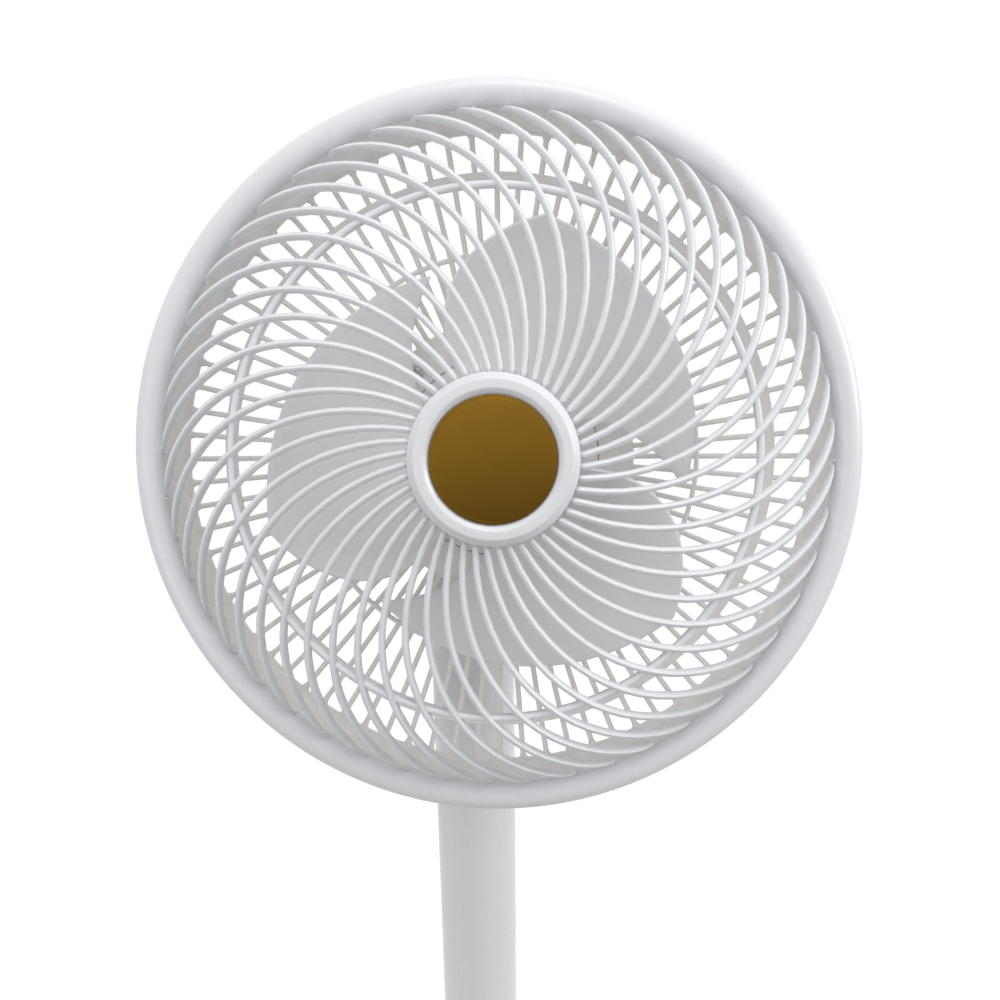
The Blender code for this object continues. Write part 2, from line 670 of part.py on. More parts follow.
def guard_screw_holes(low, high):
    """Cutters for the screws that clamp the rear guard between the motor's covers."""
    drill = (SCREW_RADIUS + RUNNING, low - BITE, high + BITE, SCREW_SIDES)
    return [placed(disc(*drill), *polar(GUARD_SCREW_CIRCLE, turn)) for turn in spread(GUARD_SCREWS, 45)]


def rear_guard(coat, parent):
    """Straight spokes in three rows of slots, made as one polar grid, with the drum wall and its flange outside.

    A spoke has a flat front and a sharp back, so a row has two points a spoke in front and one behind. The wall and
    the middle plate have one side for each two spokes.
    """
    rows = [
        REAR_PLATE_RADIUS,
        THIN_RING_RADIUS - THIN_RING_WIDTH / 2,
        THIN_RING_RADIUS + THIN_RING_WIDTH / 2,
        BAND_RADIUS - BAND_WIDTH / 2,
        BAND_RADIUS + BAND_WIDTH / 2,
        DRUM_RADIUS - DRUM_LEDGE,
    ]
    wall = DRUM_RADIUS + DRUM_WALL
    flange = (HEAD_RADIUS - RIM_WALL) * cos(pi / RIM_SIDES) - GAP
    pairs = spread(REAR_RIB_PAIRS)
    spokes = spread(2 * REAR_RIB_PAIRS)
    bm = bmesh.new()

    def strip(first, second, every=1):
        """Faces between two rows with the same number of points, over each interval or over every other one."""
        for i in range(0, len(first), every):
            j = (i + 1) % len(first)
            bm.faces.new((first[i], first[j], second[j], second[i]))

    def tie(plain, edges):
        """Faces between a row with one point a pair and a row with more."""
        share = len(edges) // len(plain)
        middle = share // 2
        for i in range(len(plain)):
            j = (i + 1) % len(plain)
            for step in range(share):
                corner = plain[i] if step < middle else plain[j]
                near, far = edges[share * i + step], edges[(share * i + step + 1) % len(edges)]
                bm.faces.new((corner, far, near))
            bm.faces.new((plain[i], plain[j], edges[share * i + middle]))

    front, back = [], []
    for radius in rows:
        half = asin(REAR_RIB_WIDTH / 2 / radius)
        height = rear_front_face(radius)
        front.append([bm.verts.new(polar(radius, turn + lean * half, height)) for turn in spokes for lean in (-1, 1)])
        back.append([bm.verts.new(polar(radius, turn, height - REAR_GUARD_THICK)) for turn in spokes])
    for here in range(len(rows) - 1):
        in_ring = here in (1, 3)
        strip(front[here], front[here + 1], every=1 if in_ring else 2)
        if in_ring:
            strip(back[here], back[here + 1])
            continue
        for i in range(len(spokes)):
            for edge in (2 * i, 2 * i + 1):
                bm.faces.new((front[here][edge], front[here + 1][edge], back[here + 1][i], back[here][i]))
        for row in (here, here + 1):
            for i in range(len(spokes)):
                j = (i + 1) % len(spokes)
                bm.faces.new((front[row][2 * i + 1], front[row][2 * j], back[row][j], back[row][i]))

    corner = rear_front_face(DRUM_RADIUS)
    outline = [
        (DRUM_RADIUS, corner + DRUM_LEDGE_RISE),
        (DRUM_RADIUS, RIM_SEAM - GAP),
        (wall, RIM_SEAM - GAP),
        (wall, -DRUM_FLANGE_BACK + DRUM_FLANGE),
        (flange, -DRUM_FLANGE_BACK + DRUM_FLANGE),
        (flange, -DRUM_FLANGE_BACK),
        (wall, -DRUM_FLANGE_BACK),
        (wall, corner),
        (DRUM_RADIUS, corner - REAR_GUARD_THICK),
    ]
    rim = [[bm.verts.new(polar(radius, turn, height)) for turn in pairs] for radius, height in outline]
    plate = REAR_PLATE_RADIUS - REAR_PLATE_BORDER
    outline = [(plate, PLATE_FRONT), (REAR_PLATE_BORE, PLATE_FRONT), (REAR_PLATE_BORE, PLATE_BACK), (plate, PLATE_BACK)]
    middle = [[bm.verts.new(polar(radius, turn, height)) for turn in pairs] for radius, height in outline]
    for rings in (rim, middle):
        for first, second in zip(rings, rings[1:]):
            strip(first, second)
    tie(rim[0], front[-1])
    tie(rim[-1], back[-1])
    tie(middle[0], front[0])
    tie(middle[-1], back[0])
    facing_out(bm)

    holes = guard_screw_holes(PLATE_BACK, PLATE_FRONT)
    lock = disc(
        LOCK_SCREW_RADIUS + RUNNING, -DRUM_FLANGE_BACK - BITE, -DRUM_FLANGE_BACK + DRUM_FLANGE + BITE, SCREW_SIDES
    )
    holes.append(placed(lock, y=-LOCK_SCREW_CIRCLE))
    return piece("rear_guard", cut(bm, together(holes)), coat, parent)


def screw(name, radius, head_radius, head_thick, length, coat, parent, place, turn=None):
    """A screw with its head at 0 and above and its shank below, set down at a place."""
    shape = lathe(
        [
            (0, -length),
            (radius, -length),
            (radius, 0),
            (head_radius, 0),
            (head_radius * 0.8, head_thick),
            (0, head_thick),
        ],
        SCREW_SIDES,
    )
    if turn is not None:
        moved(shape, turn)
    return piece(name, placed(shape, *place), coat, parent)


def guard_screws(coat, parent):
    flip = Matrix.Rotation(pi, 4, "X")
    under_flange = -DRUM_FLANGE_BACK - GAP
    place = (0, -LOCK_SCREW_CIRCLE, under_flange)
    lock = (LOCK_SCREW_RADIUS, LOCK_HEAD_RADIUS, LOCK_HEAD_THICK, -under_flange)
    screw("guard_lock_screw", *lock, coat, parent, place, flip)
    length = PLATE_FRONT - MOTOR_FRONT + MOTOR_FLANGE_THICK + GUARD_SCREW_BEYOND
    for number, turn in enumerate(spread(GUARD_SCREWS, 45), 1):
        place = polar(GUARD_SCREW_CIRCLE, turn, PLATE_FRONT + GAP)
        screw(f"guard_screw_{number}", SCREW_RADIUS, SCREW_HEAD_RADIUS, SCREW_HEAD_THICK, length, coat, parent, place)


# --- Motor --------------------------------------------------------------------------------------


def motor_front_cover(coat, parent):
    """The cap in front of the motor: a spigot through the rear guard, a bearing pocket and the stator's skirt."""
    spigot = REAR_PLATE_BORE - GAP
    pocket = BEARING_RADIUS + GAP
    pocket_wall = pocket + BEARING_POCKET_WALL
    pocket_floor = FRONT_BEARING_BACK + BEARING_WIDTH + GAP
    seat = STATOR_RADIUS + 2 * GAP
    skirt = seat + STATOR_SEAT_WALL
    skirt_back = (STATOR_FRONT + 2 * STATOR_BACK) / 3
    ledge = STATOR_RADIUS - STATOR_YOKE / 2
    shape = lathe(
        [
            (SHAFT_RADIUS + BITE, PLATE_FRONT),
            (spigot, PLATE_FRONT),
            (spigot, COVER_FRONT),
            (MOTOR_FLANGE_RADIUS, COVER_FRONT),
            (MOTOR_FLANGE_RADIUS, COVER_BACK),
            (skirt, COVER_BACK),
            (skirt, skirt_back),
            (seat, skirt_back),
            (seat, STATOR_FRONT + GAP),
            (ledge, STATOR_FRONT + GAP),
            (ledge, COVER_BACK),
            (pocket_wall, COVER_BACK),
            (pocket_wall, FRONT_BEARING_BACK),
            (pocket, FRONT_BEARING_BACK),
            (pocket, pocket_floor),
            (SHAFT_RADIUS + BITE, pocket_floor),
        ],
        LARGE_SIDES,
    )
    return piece("motor_front_cover", cut(shape, together(guard_screw_holes(COVER_BACK, COVER_FRONT))), coat, parent)


def motor_rear_cover(coat, parent):
    """The motor's cup, with a flange in front, a bearing pocket, the board's ledge and vents in its back."""
    floor = MOTOR_BACK + MOTOR_WALL
    pocket = BEARING_RADIUS + GAP
    corner = arc((MOTOR_RADIUS - MOTOR_CORNER, MOTOR_BACK + MOTOR_CORNER), MOTOR_CORNER, -90, 0, 3)
    shape = lathe(
        [(0, MOTOR_BACK)]
        + corner
        + [
            (MOTOR_RADIUS, MOTOR_FRONT - MOTOR_FLANGE_THICK),
            (MOTOR_FLANGE_RADIUS, MOTOR_FRONT - MOTOR_FLANGE_THICK),
            (MOTOR_FLANGE_RADIUS, MOTOR_FRONT),
            (MOTOR_BORE, MOTOR_FRONT),
            (MOTOR_BORE, floor + MOTOR_LEDGE_HEIGHT),
            (MOTOR_LEDGE_RADIUS, floor + MOTOR_LEDGE_HEIGHT),
            (MOTOR_LEDGE_RADIUS, floor),
            (pocket + BEARING_POCKET_WALL, floor),
            (pocket + BEARING_POCKET_WALL, REAR_BEARING_FRONT - GAP),
            (pocket, REAR_BEARING_FRONT - GAP),
            (pocket, floor),
            (0, floor),
        ],
        LARGE_SIDES,
    )
    cutters = guard_screw_holes(MOTOR_FRONT - MOTOR_FLANGE_THICK, MOTOR_FRONT)
    first_vent = (pocket + BEARING_POCKET_WALL + MOTOR_LEDGE_RADIUS - VENT_LENGTH) / 2
    for turn in spread(VENT_SLOTS, 15):
        vent = block(
            (first_vent, -VENT_WIDTH / 2, MOTOR_BACK - BITE), (first_vent + VENT_LENGTH, VENT_WIDTH / 2, floor + BITE)
        )
        cutters.append(moved(vent, Matrix.Rotation(turn, 4, "Z")))
    for place in bracket_screw_places():
        drill = along_y(disc(SCREW_RADIUS + RUNNING, -place.y - 2 * MOTOR_WALL, -place.y, SCREW_SIDES))
        cutters.append(placed(drill, x=place.x, z=place.z))
    return piece("motor_rear_cover", cut(shape, together(cutters)), coat, parent)


def stator_core(coat, parent):
    """A yoke with straight teeth that point in at the rotor."""
    yoke = STATOR_RADIUS - STATOR_YOKE
    half = STATOR_TIP * STATOR_TOOTH_SHARE * pi / STATOR_TEETH
    outline = []
    for middle in spread(STATOR_TEETH):
        for radius, side in ((yoke, -1), (STATOR_TIP, -1), (STATOR_TIP, 1), (yoke, 1)):
            outline.append(polar(radius, middle + side * asin(half / radius)).xy)
    body = disc(STATOR_RADIUS, STATOR_BACK, STATOR_FRONT, LARGE_SIDES)
    return piece("stator_core", cut(body, prism(outline, STATOR_BACK - BITE, STATOR_FRONT + BITE)), coat, parent)


def winding(name, low, high, coat, parent):
    """The end turns on one face of the stator: a ring that swells over each tooth."""
    inner, outer = STATOR_TIP + WINDING_FROM_TOOTH, STATOR_RADIUS - STATOR_YOKE - WINDING_FROM_YOKE
    rows = []
    for radius, height, sign in ((outer, low, 1), (outer, high, 1), (inner, high, -1), (inner, low, -1)):
        row = []
        for step, angle in enumerate(spread(2 * STATOR_TEETH)):
            row.append(polar(radius - sign * (step % 2) * WINDING_SWELL, angle, height))
        rows.append(row)
    return piece(name, loft(rows), coat, parent)


def motor_inside(steel, copper, green, parent):
    stator_core(steel, parent)
    winding("winding_front", STATOR_FRONT + GAP, STATOR_FRONT + GAP + WINDING_HEIGHT, copper, parent)
    winding("winding_rear", STATOR_BACK - GAP - WINDING_HEIGHT, STATOR_BACK - GAP, copper, parent)
    bore = SHAFT_RADIUS + RUNNING
    front = ring(bore, BEARING_RADIUS, FRONT_BEARING_BACK, FRONT_BEARING_BACK + BEARING_WIDTH, MEDIUM_SIDES)
    piece("front_bearing", front, steel, parent)
    rear = ring(bore, BEARING_RADIUS, REAR_BEARING_FRONT - BEARING_WIDTH, REAR_BEARING_FRONT, MEDIUM_SIDES)
    piece("rear_bearing", rear, steel, parent)
    low = MOTOR_BACK + MOTOR_WALL + MOTOR_LEDGE_HEIGHT + GAP
    hole = BEARING_RADIUS + BEARING_POCKET_WALL + BITE
    piece("motor_board", ring(hole, MOTOR_BOARD_RADIUS, low, low + MOTOR_BOARD_THICK, MEDIUM_SIDES), green, parent)


def impeller_shaft(steel, parent):
    """The shaft with its rotor and the pin that drives the impeller."""
    pin_height = IMPELLER_BOSS_REAR + DRIVE_SLOT_DEPTH - GAP - DRIVE_PIN_RADIUS
    reach = IMPELLER_BOSS_RADIUS - 2 * GAP
    shaft = disc(SHAFT_RADIUS, MOTOR_BACK + MOTOR_WALL + BITE, IMPELLER_FRONT + GAP + SHAFT_IN_NUT, MEDIUM_SIDES)
    hole = along_x(disc(DRIVE_PIN_RADIUS + RUNNING, -SHAFT_RADIUS - BITE, SHAFT_RADIUS + BITE, SCREW_SIDES))
    piece("motor_shaft", cut(shaft, placed(hole, z=pin_height)), steel, parent)
    pin = along_x(disc(DRIVE_PIN_RADIUS, -reach, reach, SCREW_SIDES))
    piece("drive_pin", placed(pin, z=pin_height), steel, parent)
    rotor = ring(SHAFT_RADIUS + RUNNING, ROTOR_RADIUS, STATOR_BACK - BITE, STATOR_FRONT + BITE, MEDIUM_SIDES)
    piece("rotor", rotor, steel, parent)


# --- Impeller -----------------------------------------------------------------------------------


def blade_point(across, out, peak):
    """A point of a blade's middle surface. across runs from its leading to its trailing edge, out to its tip."""
    root = IMPELLER_HUB_RADIUS - IMPELLER_WALL / 2
    tip = BLADE_NOSE_RADIUS + (BLADE_TIP_RADIUS - BLADE_NOSE_RADIUS) * across
    lead = peak - radians(BLADE_SPAN_DEG - BLADE_LEAD_SWEEP_DEG * (1 - out))
    trail = peak + radians(BLADE_TRAIL_SWEEP_DEG * (1 - out**BLADE_TRAIL_POWER))
    pitch = BLADE_ROOT_PITCH + (BLADE_TIP_PITCH - BLADE_ROOT_PITCH) * out
    height = BLADE_MIDDLE + pitch * (across - 0.5) - BLADE_CAMBER * 4 * across * (1 - across)
    return polar(root + (tip - root) * out, lead + (trail - lead) * across, height)


def blade(peak):
    """One blade: two skins either side of the middle surface, and an edge all round."""
    chord, span = BLADE_GRID
    small = 1e-3
    skins = ([], [])
    for i in range(chord + 1):
        for skin in skins:
            skin.append([])
        for j in range(span + 1):
            across, out = i / chord, j / span
            middle = blade_point(across, out, peak)
            forward = blade_point(across + small, out, peak) - blade_point(across - small, out, peak)
            outward = blade_point(across, out + small, peak) - blade_point(across, max(out - small, 0), peak)
            half = outward.cross(forward).normalized() * BLADE_THICK / 2
            skins[0][-1].append(middle - half)
            skins[1][-1].append(middle + half)
    bm = bmesh.new()
    low, high = [[[bm.verts.new(point) for point in row] for row in skin] for skin in skins]
    for i in range(chord):
        for j in range(span):
            for skin in (low, high):
                bm.faces.new((skin[i][j], skin[i + 1][j], skin[i + 1][j + 1], skin[i][j + 1]))
    border = [(i, 0) for i in range(chord)]
    border += [(chord, j) for j in range(span)]
    border += [(i, span) for i in range(chord, 0, -1)]
    border += [(0, j) for j in range(span, 0, -1)]
    for (i, j), (k, m) in zip(border, border[1:] + border[:1]):
        bm.faces.new((low[i][j], low[k][m], high[k][m], high[i][j]))
    return facing_out(bm)


def impeller(coat, parent):
    bore = SHAFT_RADIUS + RUNNING
    inside = IMPELLER_HUB_RADIUS - IMPELLER_WALL
    edge = arc((IMPELLER_HUB_RADIUS - IMPELLER_ROUND, IMPELLER_FRONT - IMPELLER_ROUND), IMPELLER_ROUND, 0, 90, 2)
    hub = lathe(
        [(bore, IMPELLER_BOSS_REAR), (IMPELLER_BOSS_RADIUS, IMPELLER_BOSS_REAR)]
        + [(IMPELLER_BOSS_RADIUS, IMPELLER_FRONT - IMPELLER_WALL), (inside, IMPELLER_FRONT - 2 * IMPELLER_WALL)]
        + [(inside, IMPELLER_REAR), (IMPELLER_HUB_RADIUS, IMPELLER_REAR)]
        + edge
        + [(bore, IMPELLER_FRONT)],
        LARGE_SIDES,
    )
    blades = together([blade(turn) for turn in spread(BLADES, BLADE_PEAK_DEG)])
    slot = DRIVE_PIN_RADIUS + RUNNING
    reach = IMPELLER_BOSS_RADIUS + BITE
    floor = IMPELLER_BOSS_REAR + DRIVE_SLOT_DEPTH
    key = block((-reach, -slot, IMPELLER_BOSS_REAR - BITE), (reach, slot, floor))
    return piece("impeller", cut(joined(hub, blades), key), coat, parent)


def impeller_nut(coat, parent):
    low = IMPELLER_FRONT + GAP
    outline = []
    for turn in spread(NUT_GRIPS):
        for radius, offset in ((NUT_RADIUS - 1.6 * MM, 0.0), (NUT_RADIUS, 0.3), (NUT_RADIUS, 0.7)):
            point = polar(radius, turn + offset * 2 * pi / NUT_GRIPS)
            outline.append((point.x, point.y))
    thread = disc(SHAFT_RADIUS + RUNNING, low - BITE, low + SHAFT_IN_NUT + GAP, MEDIUM_SIDES)
    return piece("impeller_nut", cut(prism(outline, low, low + NUT_HEIGHT), thread), coat, parent)


# --- Tilt hinge and neck ------------------------------------------------------------------------


def bracket_screw_places():
    """Where the bracket's screws enter the underside of the motor's cup."""
    middle = -HEAD_OFFSET + KNUCKLE_WIDTH / 2 + (SADDLE_WIDTH - SADDLE_EDGE - KNUCKLE_WIDTH) / 2
    return [Vector((middle, -MOTOR_RADIUS, -TILT_AXIS_BEHIND + lean * BRACKET_SCREW_PITCH / 2)) for lean in (-1, 1)]


def tilt_bracket(coat, steel, parent):
    """A saddle under the motor with one knuckle, which hangs in the neck's fork."""
    seat = MOTOR_RADIUS + GAP
    left, right = -HEAD_OFFSET - KNUCKLE_WIDTH / 2, -HEAD_OFFSET + KNUCKLE_WIDTH / 2
    back, front = -TILT_AXIS_BEHIND - SADDLE_LENGTH / 2, -TILT_AXIS_BEHIND + SADDLE_LENGTH / 2
    saddle = ring(seat, seat + SADDLE_THICK, back, front, LARGE_SIDES)
    half = block(
        (left - SADDLE_EDGE, -2 * seat, back - BITE), (left - SADDLE_EDGE + SADDLE_WIDTH, -seat / 2, front + BITE)
    )
    saddle = boolean(saddle, half, "INTERSECT")
    web = block(
        (left, -TILT_AXIS_BELOW, -TILT_AXIS_BEHIND - KNUCKLE_RADIUS),
        (right, -seat * 0.9, -TILT_AXIS_BEHIND + KNUCKLE_RADIUS),
    )
    knuckle = placed(along_x(disc(KNUCKLE_RADIUS, left, right, MEDIUM_SIDES)), y=-TILT_AXIS_BELOW, z=-TILT_AXIS_BEHIND)
    bore = along_x(disc(TILT_PIN_RADIUS + RUNNING, left - BITE, right + BITE, PIN_SIDES))
    holes = [placed(bore, y=-TILT_AXIS_BELOW, z=-TILT_AXIS_BEHIND)]
    turn = Matrix.Rotation(pi / 2, 4, "X")
    for number, place in enumerate(bracket_screw_places(), 1):
        deep = seat + SADDLE_THICK + BITE
        drill = along_y(disc(SCREW_RADIUS + RUNNING, seat / 2, deep, SCREW_SIDES))
        holes.append(placed(drill, x=place.x, z=place.z))
        head = (place.x, -seat - SADDLE_THICK - GAP, place.z)
        length = SADDLE_THICK + MOTOR_WALL + 2 * BITE
        size = (SCREW_RADIUS, SCREW_HEAD_RADIUS, SCREW_HEAD_THICK, length)
        screw(f"bracket_screw_{number}", *size, steel, parent, head, turn)
    cup = disc(seat, back - BITE, front + BITE, LARGE_SIDES)
    lug = cut(joined(web, knuckle), cup)
    return piece("tilt_bracket", cut(joined(saddle, lug), together(holes)), coat, parent)


def neck_housing(coat, parent):
    """A capped tube that turns on the pole, with its top cut to a fork for the knuckle."""
    top = TILT_AXIS_HEIGHT + EAR_RADIUS
    body = disc(POLE_RADIUS, NECK_BOTTOM, top, LARGE_SIDES)
    wide = POLE_RADIUS + BITE
    crown = [(y, z) for y, z in arc((0, TILT_AXIS_HEIGHT), EAR_RADIUS, 0, 180, 10)]
    flare = FORK_FLOOR - NECK_FLARE
    side = [(-wide, NECK_BOTTOM - BITE), (wide, NECK_BOTTOM - BITE), (wide, flare)] + crown + [(-wide, flare)]
    profile = prism([(y, -z) for y, z in side], -wide, wide)
    moved(profile, Matrix(((0, 0, 1, 0), (1, 0, 0, 0), (0, -1, 0, 0), (0, 0, 0, 1))))
    body = boolean(body, profile, "INTERSECT")
    slot = block((-FORK_HALF, -wide, FORK_FLOOR), (FORK_HALF, wide, top + BITE))
    shoulder = NECK_FLOOR_TOP + GAP
    roof = FORK_FLOOR - NECK_ROOF
    bore = lathe(
        [
            (0, NECK_BOTTOM - BITE),
            (NECK_BORE, NECK_BOTTOM - BITE),
            (NECK_BORE, shoulder),
            (NECK_BORE - NECK_STEP, shoulder),
            (NECK_BORE - NECK_STEP, roof - NECK_COVE),
            (NECK_BORE - NECK_STEP - NECK_COVE, roof),
            (0, roof),
        ],
        LARGE_SIDES,
    )
    pin = along_x(disc(TILT_PIN_RADIUS + RUNNING, -wide, wide, PIN_SIDES))
    cutters = [slot, bore]
    seat = POLE_RADIUS - EAR_COUNTERBORE
    spots = [along_x(disc(TILT_HEAD_RADIUS + 2 * GAP, *ends, PIN_SIDES)) for ends in ((-wide, -seat), (seat, wide))]
    body = cut(body, together(cutters))
    body = cut(body, placed(pin, z=TILT_AXIS_HEIGHT))
    return piece("neck_housing", cut(body, placed(together(spots), z=TILT_AXIS_HEIGHT)), coat, parent)


def tilt_pin(steel, dark, parent):
    seat = POLE_RADIUS - EAR_COUNTERBORE + GAP
    outline = [
        (0, -seat - TILT_HEAD_THICK),
        (TILT_HEAD_RADIUS - BOLT_CHAMFER, -seat - TILT_HEAD_THICK),
        (TILT_HEAD_RADIUS, -seat - TILT_HEAD_THICK + BOLT_CHAMFER),
        (TILT_HEAD_RADIUS, -seat),
        (TILT_PIN_RADIUS, -seat),
        (TILT_PIN_RADIUS, seat + TILT_HEAD_THICK - GAP),
        (0, seat + TILT_HEAD_THICK - GAP),
    ]
    piece("tilt_bolt", placed(along_x(lathe(outline, PIN_SIDES)), z=TILT_AXIS_HEIGHT), steel, parent)
    nut = cut(
        disc(TILT_HEAD_RADIUS, seat, seat + TILT_HEAD_THICK, 6),
        disc(TILT_PIN_RADIUS + RUNNING, seat - BITE, seat + TILT_HEAD_THICK + BITE, PIN_SIDES),
    )
    piece("tilt_nut", placed(along_x(nut), z=TILT_AXIS_HEIGHT), steel, parent)
    low = KNUCKLE_WIDTH / 2 + GAP
    for name, sign in (("tilt_washer_left", -1), ("tilt_washer_right", 1)):
        near, far = sorted((sign * low, sign * (low + WASHER_THICK)))
        washer = along_x(ring(TILT_PIN_RADIUS + RUNNING, WASHER_RADIUS, near, far, PIN_SIDES))
        piece(name, placed(washer, z=TILT_AXIS_HEIGHT), dark, parent)


def neck_floor(coat, parent):
    """The disc inside the neck that turns about the post and carries the pan motor."""
    low, high = NECK_FLOOR - BITE, NECK_FLOOR_TOP + BITE
    shaft = placed(disc(PINION_SHAFT_RADIUS + RUNNING, low, high, PIN_SIDES), y=PAN_CENTRES)
    floor = ring(PAN_POST_RADIUS + RUNNING, NECK_BORE - GAP, NECK_FLOOR, NECK_FLOOR_TOP, LARGE_SIDES)
    return piece("neck_floor", cut(floor, shaft), coat, parent)


def pan_motor(coat, parent):
    foot = NECK_FLOOR_TOP + GAP
    low = foot + PAN_MOTOR_LIFT
    middle = NECK_BORE - NECK_STEP - 2 * GAP - PAN_MOTOR_RADIUS
    can = placed(disc(PAN_MOTOR_RADIUS, low, low + PAN_MOTOR_HEIGHT, MEDIUM_SIDES), y=middle)
    leg = placed(disc(PAN_MOTOR_FOOT_RADIUS, foot, low + BITE, PIN_SIDES), y=PAN_CENTRES)
    bore = placed(disc(PINION_SHAFT_RADIUS + RUNNING, foot - BITE, low - BITE, PIN_SIDES), y=PAN_CENTRES)
    return piece("pan_motor", cut(joined(can, leg), bore), coat, parent)


def pan_gears(coat, dark, pole, parent):
    """The sun gear on the post, and the pinion that walks round it. A gap of the pinion takes a tooth of the gear."""
    high = PAN_GEAR_BOTTOM + PAN_GEAR_WIDTH
    bore = PAN_POST_RADIUS + GAP
    sun = gear(PAN_GEAR_TEETH, PAN_GEAR_MODULE, bore, PAN_GEAR_BOTTOM, high, PAN_TOOTH_SHARE, pi / 2)
    piece("pan_gear", sun, coat, pole)
    meshing = -pi / 2 + pi / PAN_PINION_TEETH
    pinion = gear(PAN_PINION_TEETH, PAN_GEAR_MODULE, 0, PAN_GEAR_BOTTOM, high, PAN_TOOTH_SHARE, meshing)
    shaft_top = NECK_FLOOR_TOP + PAN_MOTOR_LIFT - 2 * BITE
    shaft = disc(PINION_SHAFT_RADIUS, PAN_GEAR_BOTTOM - BITE, shaft_top, PIN_SIDES)
    piece("pan_pinion", joined(pinion, shaft), dark, parent, (0, PAN_CENTRES, 0))


def pan_post(coat, steel, parent):
    """The cap in the top of the pole, with the post that the neck turns on, and the clip that holds it down."""
    plug = POLE_BORE - GAP
    disc_top = POLE_TOP + PAN_DISC_THICK
    shoulder = PAN_GEAR_BOTTOM - GAP
    clip = NECK_FLOOR_TOP + GAP
    outline = [
        (0, POLE_TOP - PAN_PLUG_LENGTH),
        (plug, POLE_TOP - PAN_PLUG_LENGTH),
        (plug, POLE_TOP),
        (NECK_BORE - GAP, POLE_TOP),
        (NECK_BORE - GAP, disc_top),
        (PAN_SHOULDER_RADIUS, disc_top),
        (PAN_SHOULDER_RADIUS, shoulder),
        (PAN_POST_RADIUS, shoulder),
        (PAN_POST_RADIUS, clip + PAN_CLIP_THICK + BITE),
        (0, clip + PAN_CLIP_THICK + BITE),
    ]
    piece("pole_top_cap", lathe(outline, MEDIUM_SIDES), coat, parent)
    band = ring(PAN_POST_RADIUS + RUNNING, PAN_CLIP_RADIUS, clip, clip + PAN_CLIP_THICK, MEDIUM_SIDES)
    mouth = block((-PAN_CLIP_RADIUS * 2, -BITE, clip - BITE), (0, BITE, clip + PAN_CLIP_THICK + BITE))
    return piece("pan_clip", cut(band, mouth), steel, parent)


# --- Pole and base ------------------------------------------------------------------------------


def pole(coat, dark, steel, parent):
    seam = COUPLER_BEAD / 2 + GAP
    foot = SOCKET_FLOOR + GAP
    piece("pole_upper_tube", ring(POLE_BORE, POLE_RADIUS, POLE_SPLIT + seam, POLE_TOP, LARGE_SIDES), coat, parent)
    piece("pole_lower_tube", ring(POLE_BORE, POLE_RADIUS, foot, POLE_SPLIT - seam, LARGE_SIDES), coat, parent)
    sleeve = POLE_BORE - GAP
    outline = [
        (sleeve - COUPLER_WALL, POLE_SPLIT - COUPLER_LENGTH / 2),
        (sleeve, POLE_SPLIT - COUPLER_LENGTH / 2),
        (sleeve, POLE_SPLIT - COUPLER_BEAD / 2),
        (POLE_RADIUS, POLE_SPLIT - COUPLER_BEAD / 2),
        (POLE_RADIUS, POLE_SPLIT + COUPLER_BEAD / 2),
        (sleeve, POLE_SPLIT + COUPLER_BEAD / 2),
        (sleeve, POLE_SPLIT + COUPLER_LENGTH / 2),
        (sleeve - COUPLER_WALL, POLE_SPLIT + COUPLER_LENGTH / 2),
    ]
    piece("pole_coupler", lathe(outline, MEDIUM_SIDES), dark, parent)
    thread = BASE_BOLT_RADIUS + RUNNING
    plug = [
        (thread, foot),
        (sleeve, foot),
        (sleeve, foot + PLUG_LENGTH),
        (0, foot + PLUG_LENGTH),
        (0, foot + PLUG_LENGTH - 2 * BITE),
        (thread, foot + PLUG_LENGTH - 2 * BITE),
    ]
    piece("pole_foot_plug", lathe(plug, MEDIUM_SIDES), dark, parent)
    under = PLATE_BOTTOM - GAP
    bolt = [
        (0, under - BASE_BOLT_HEAD_THICK),
        (BASE_BOLT_HEAD_RADIUS - BOLT_CHAMFER, under - BASE_BOLT_HEAD_THICK),
        (BASE_BOLT_HEAD_RADIUS, under - BASE_BOLT_HEAD_THICK + BOLT_CHAMFER),
        (BASE_BOLT_HEAD_RADIUS, under),
        (BASE_BOLT_RADIUS, under),
        (BASE_BOLT_RADIUS, foot + PLUG_LENGTH - 3 * BITE),
        (0, foot + PLUG_LENGTH - 3 * BITE),
    ]
    piece("base_bolt", lathe(bolt, PIN_SIDES), steel, parent)


def button_turns():
    """Angles of the buttons round the base, in the order that they are numbered."""
    return [-pi / 2 + (i - (BUTTONS - 1) / 2) * BUTTON_PITCH / BUTTON_CIRCLE for i in range(BUTTONS)]


def base_top(radius):
    """Height of the base's top face, which rises from the rounded edge to the socket."""
    edge = BASE_RADIUS - BASE_EDGE_ROUND
    return BASE_HEIGHT + (BASE_CROWN - BASE_HEIGHT) * (edge - radius) / (edge - SOCKET_RADIUS)


def base_screw_places():
    return [polar(BASE_SCREW_CIRCLE, turn) for turn in spread(BASE_SCREWS, 30)]


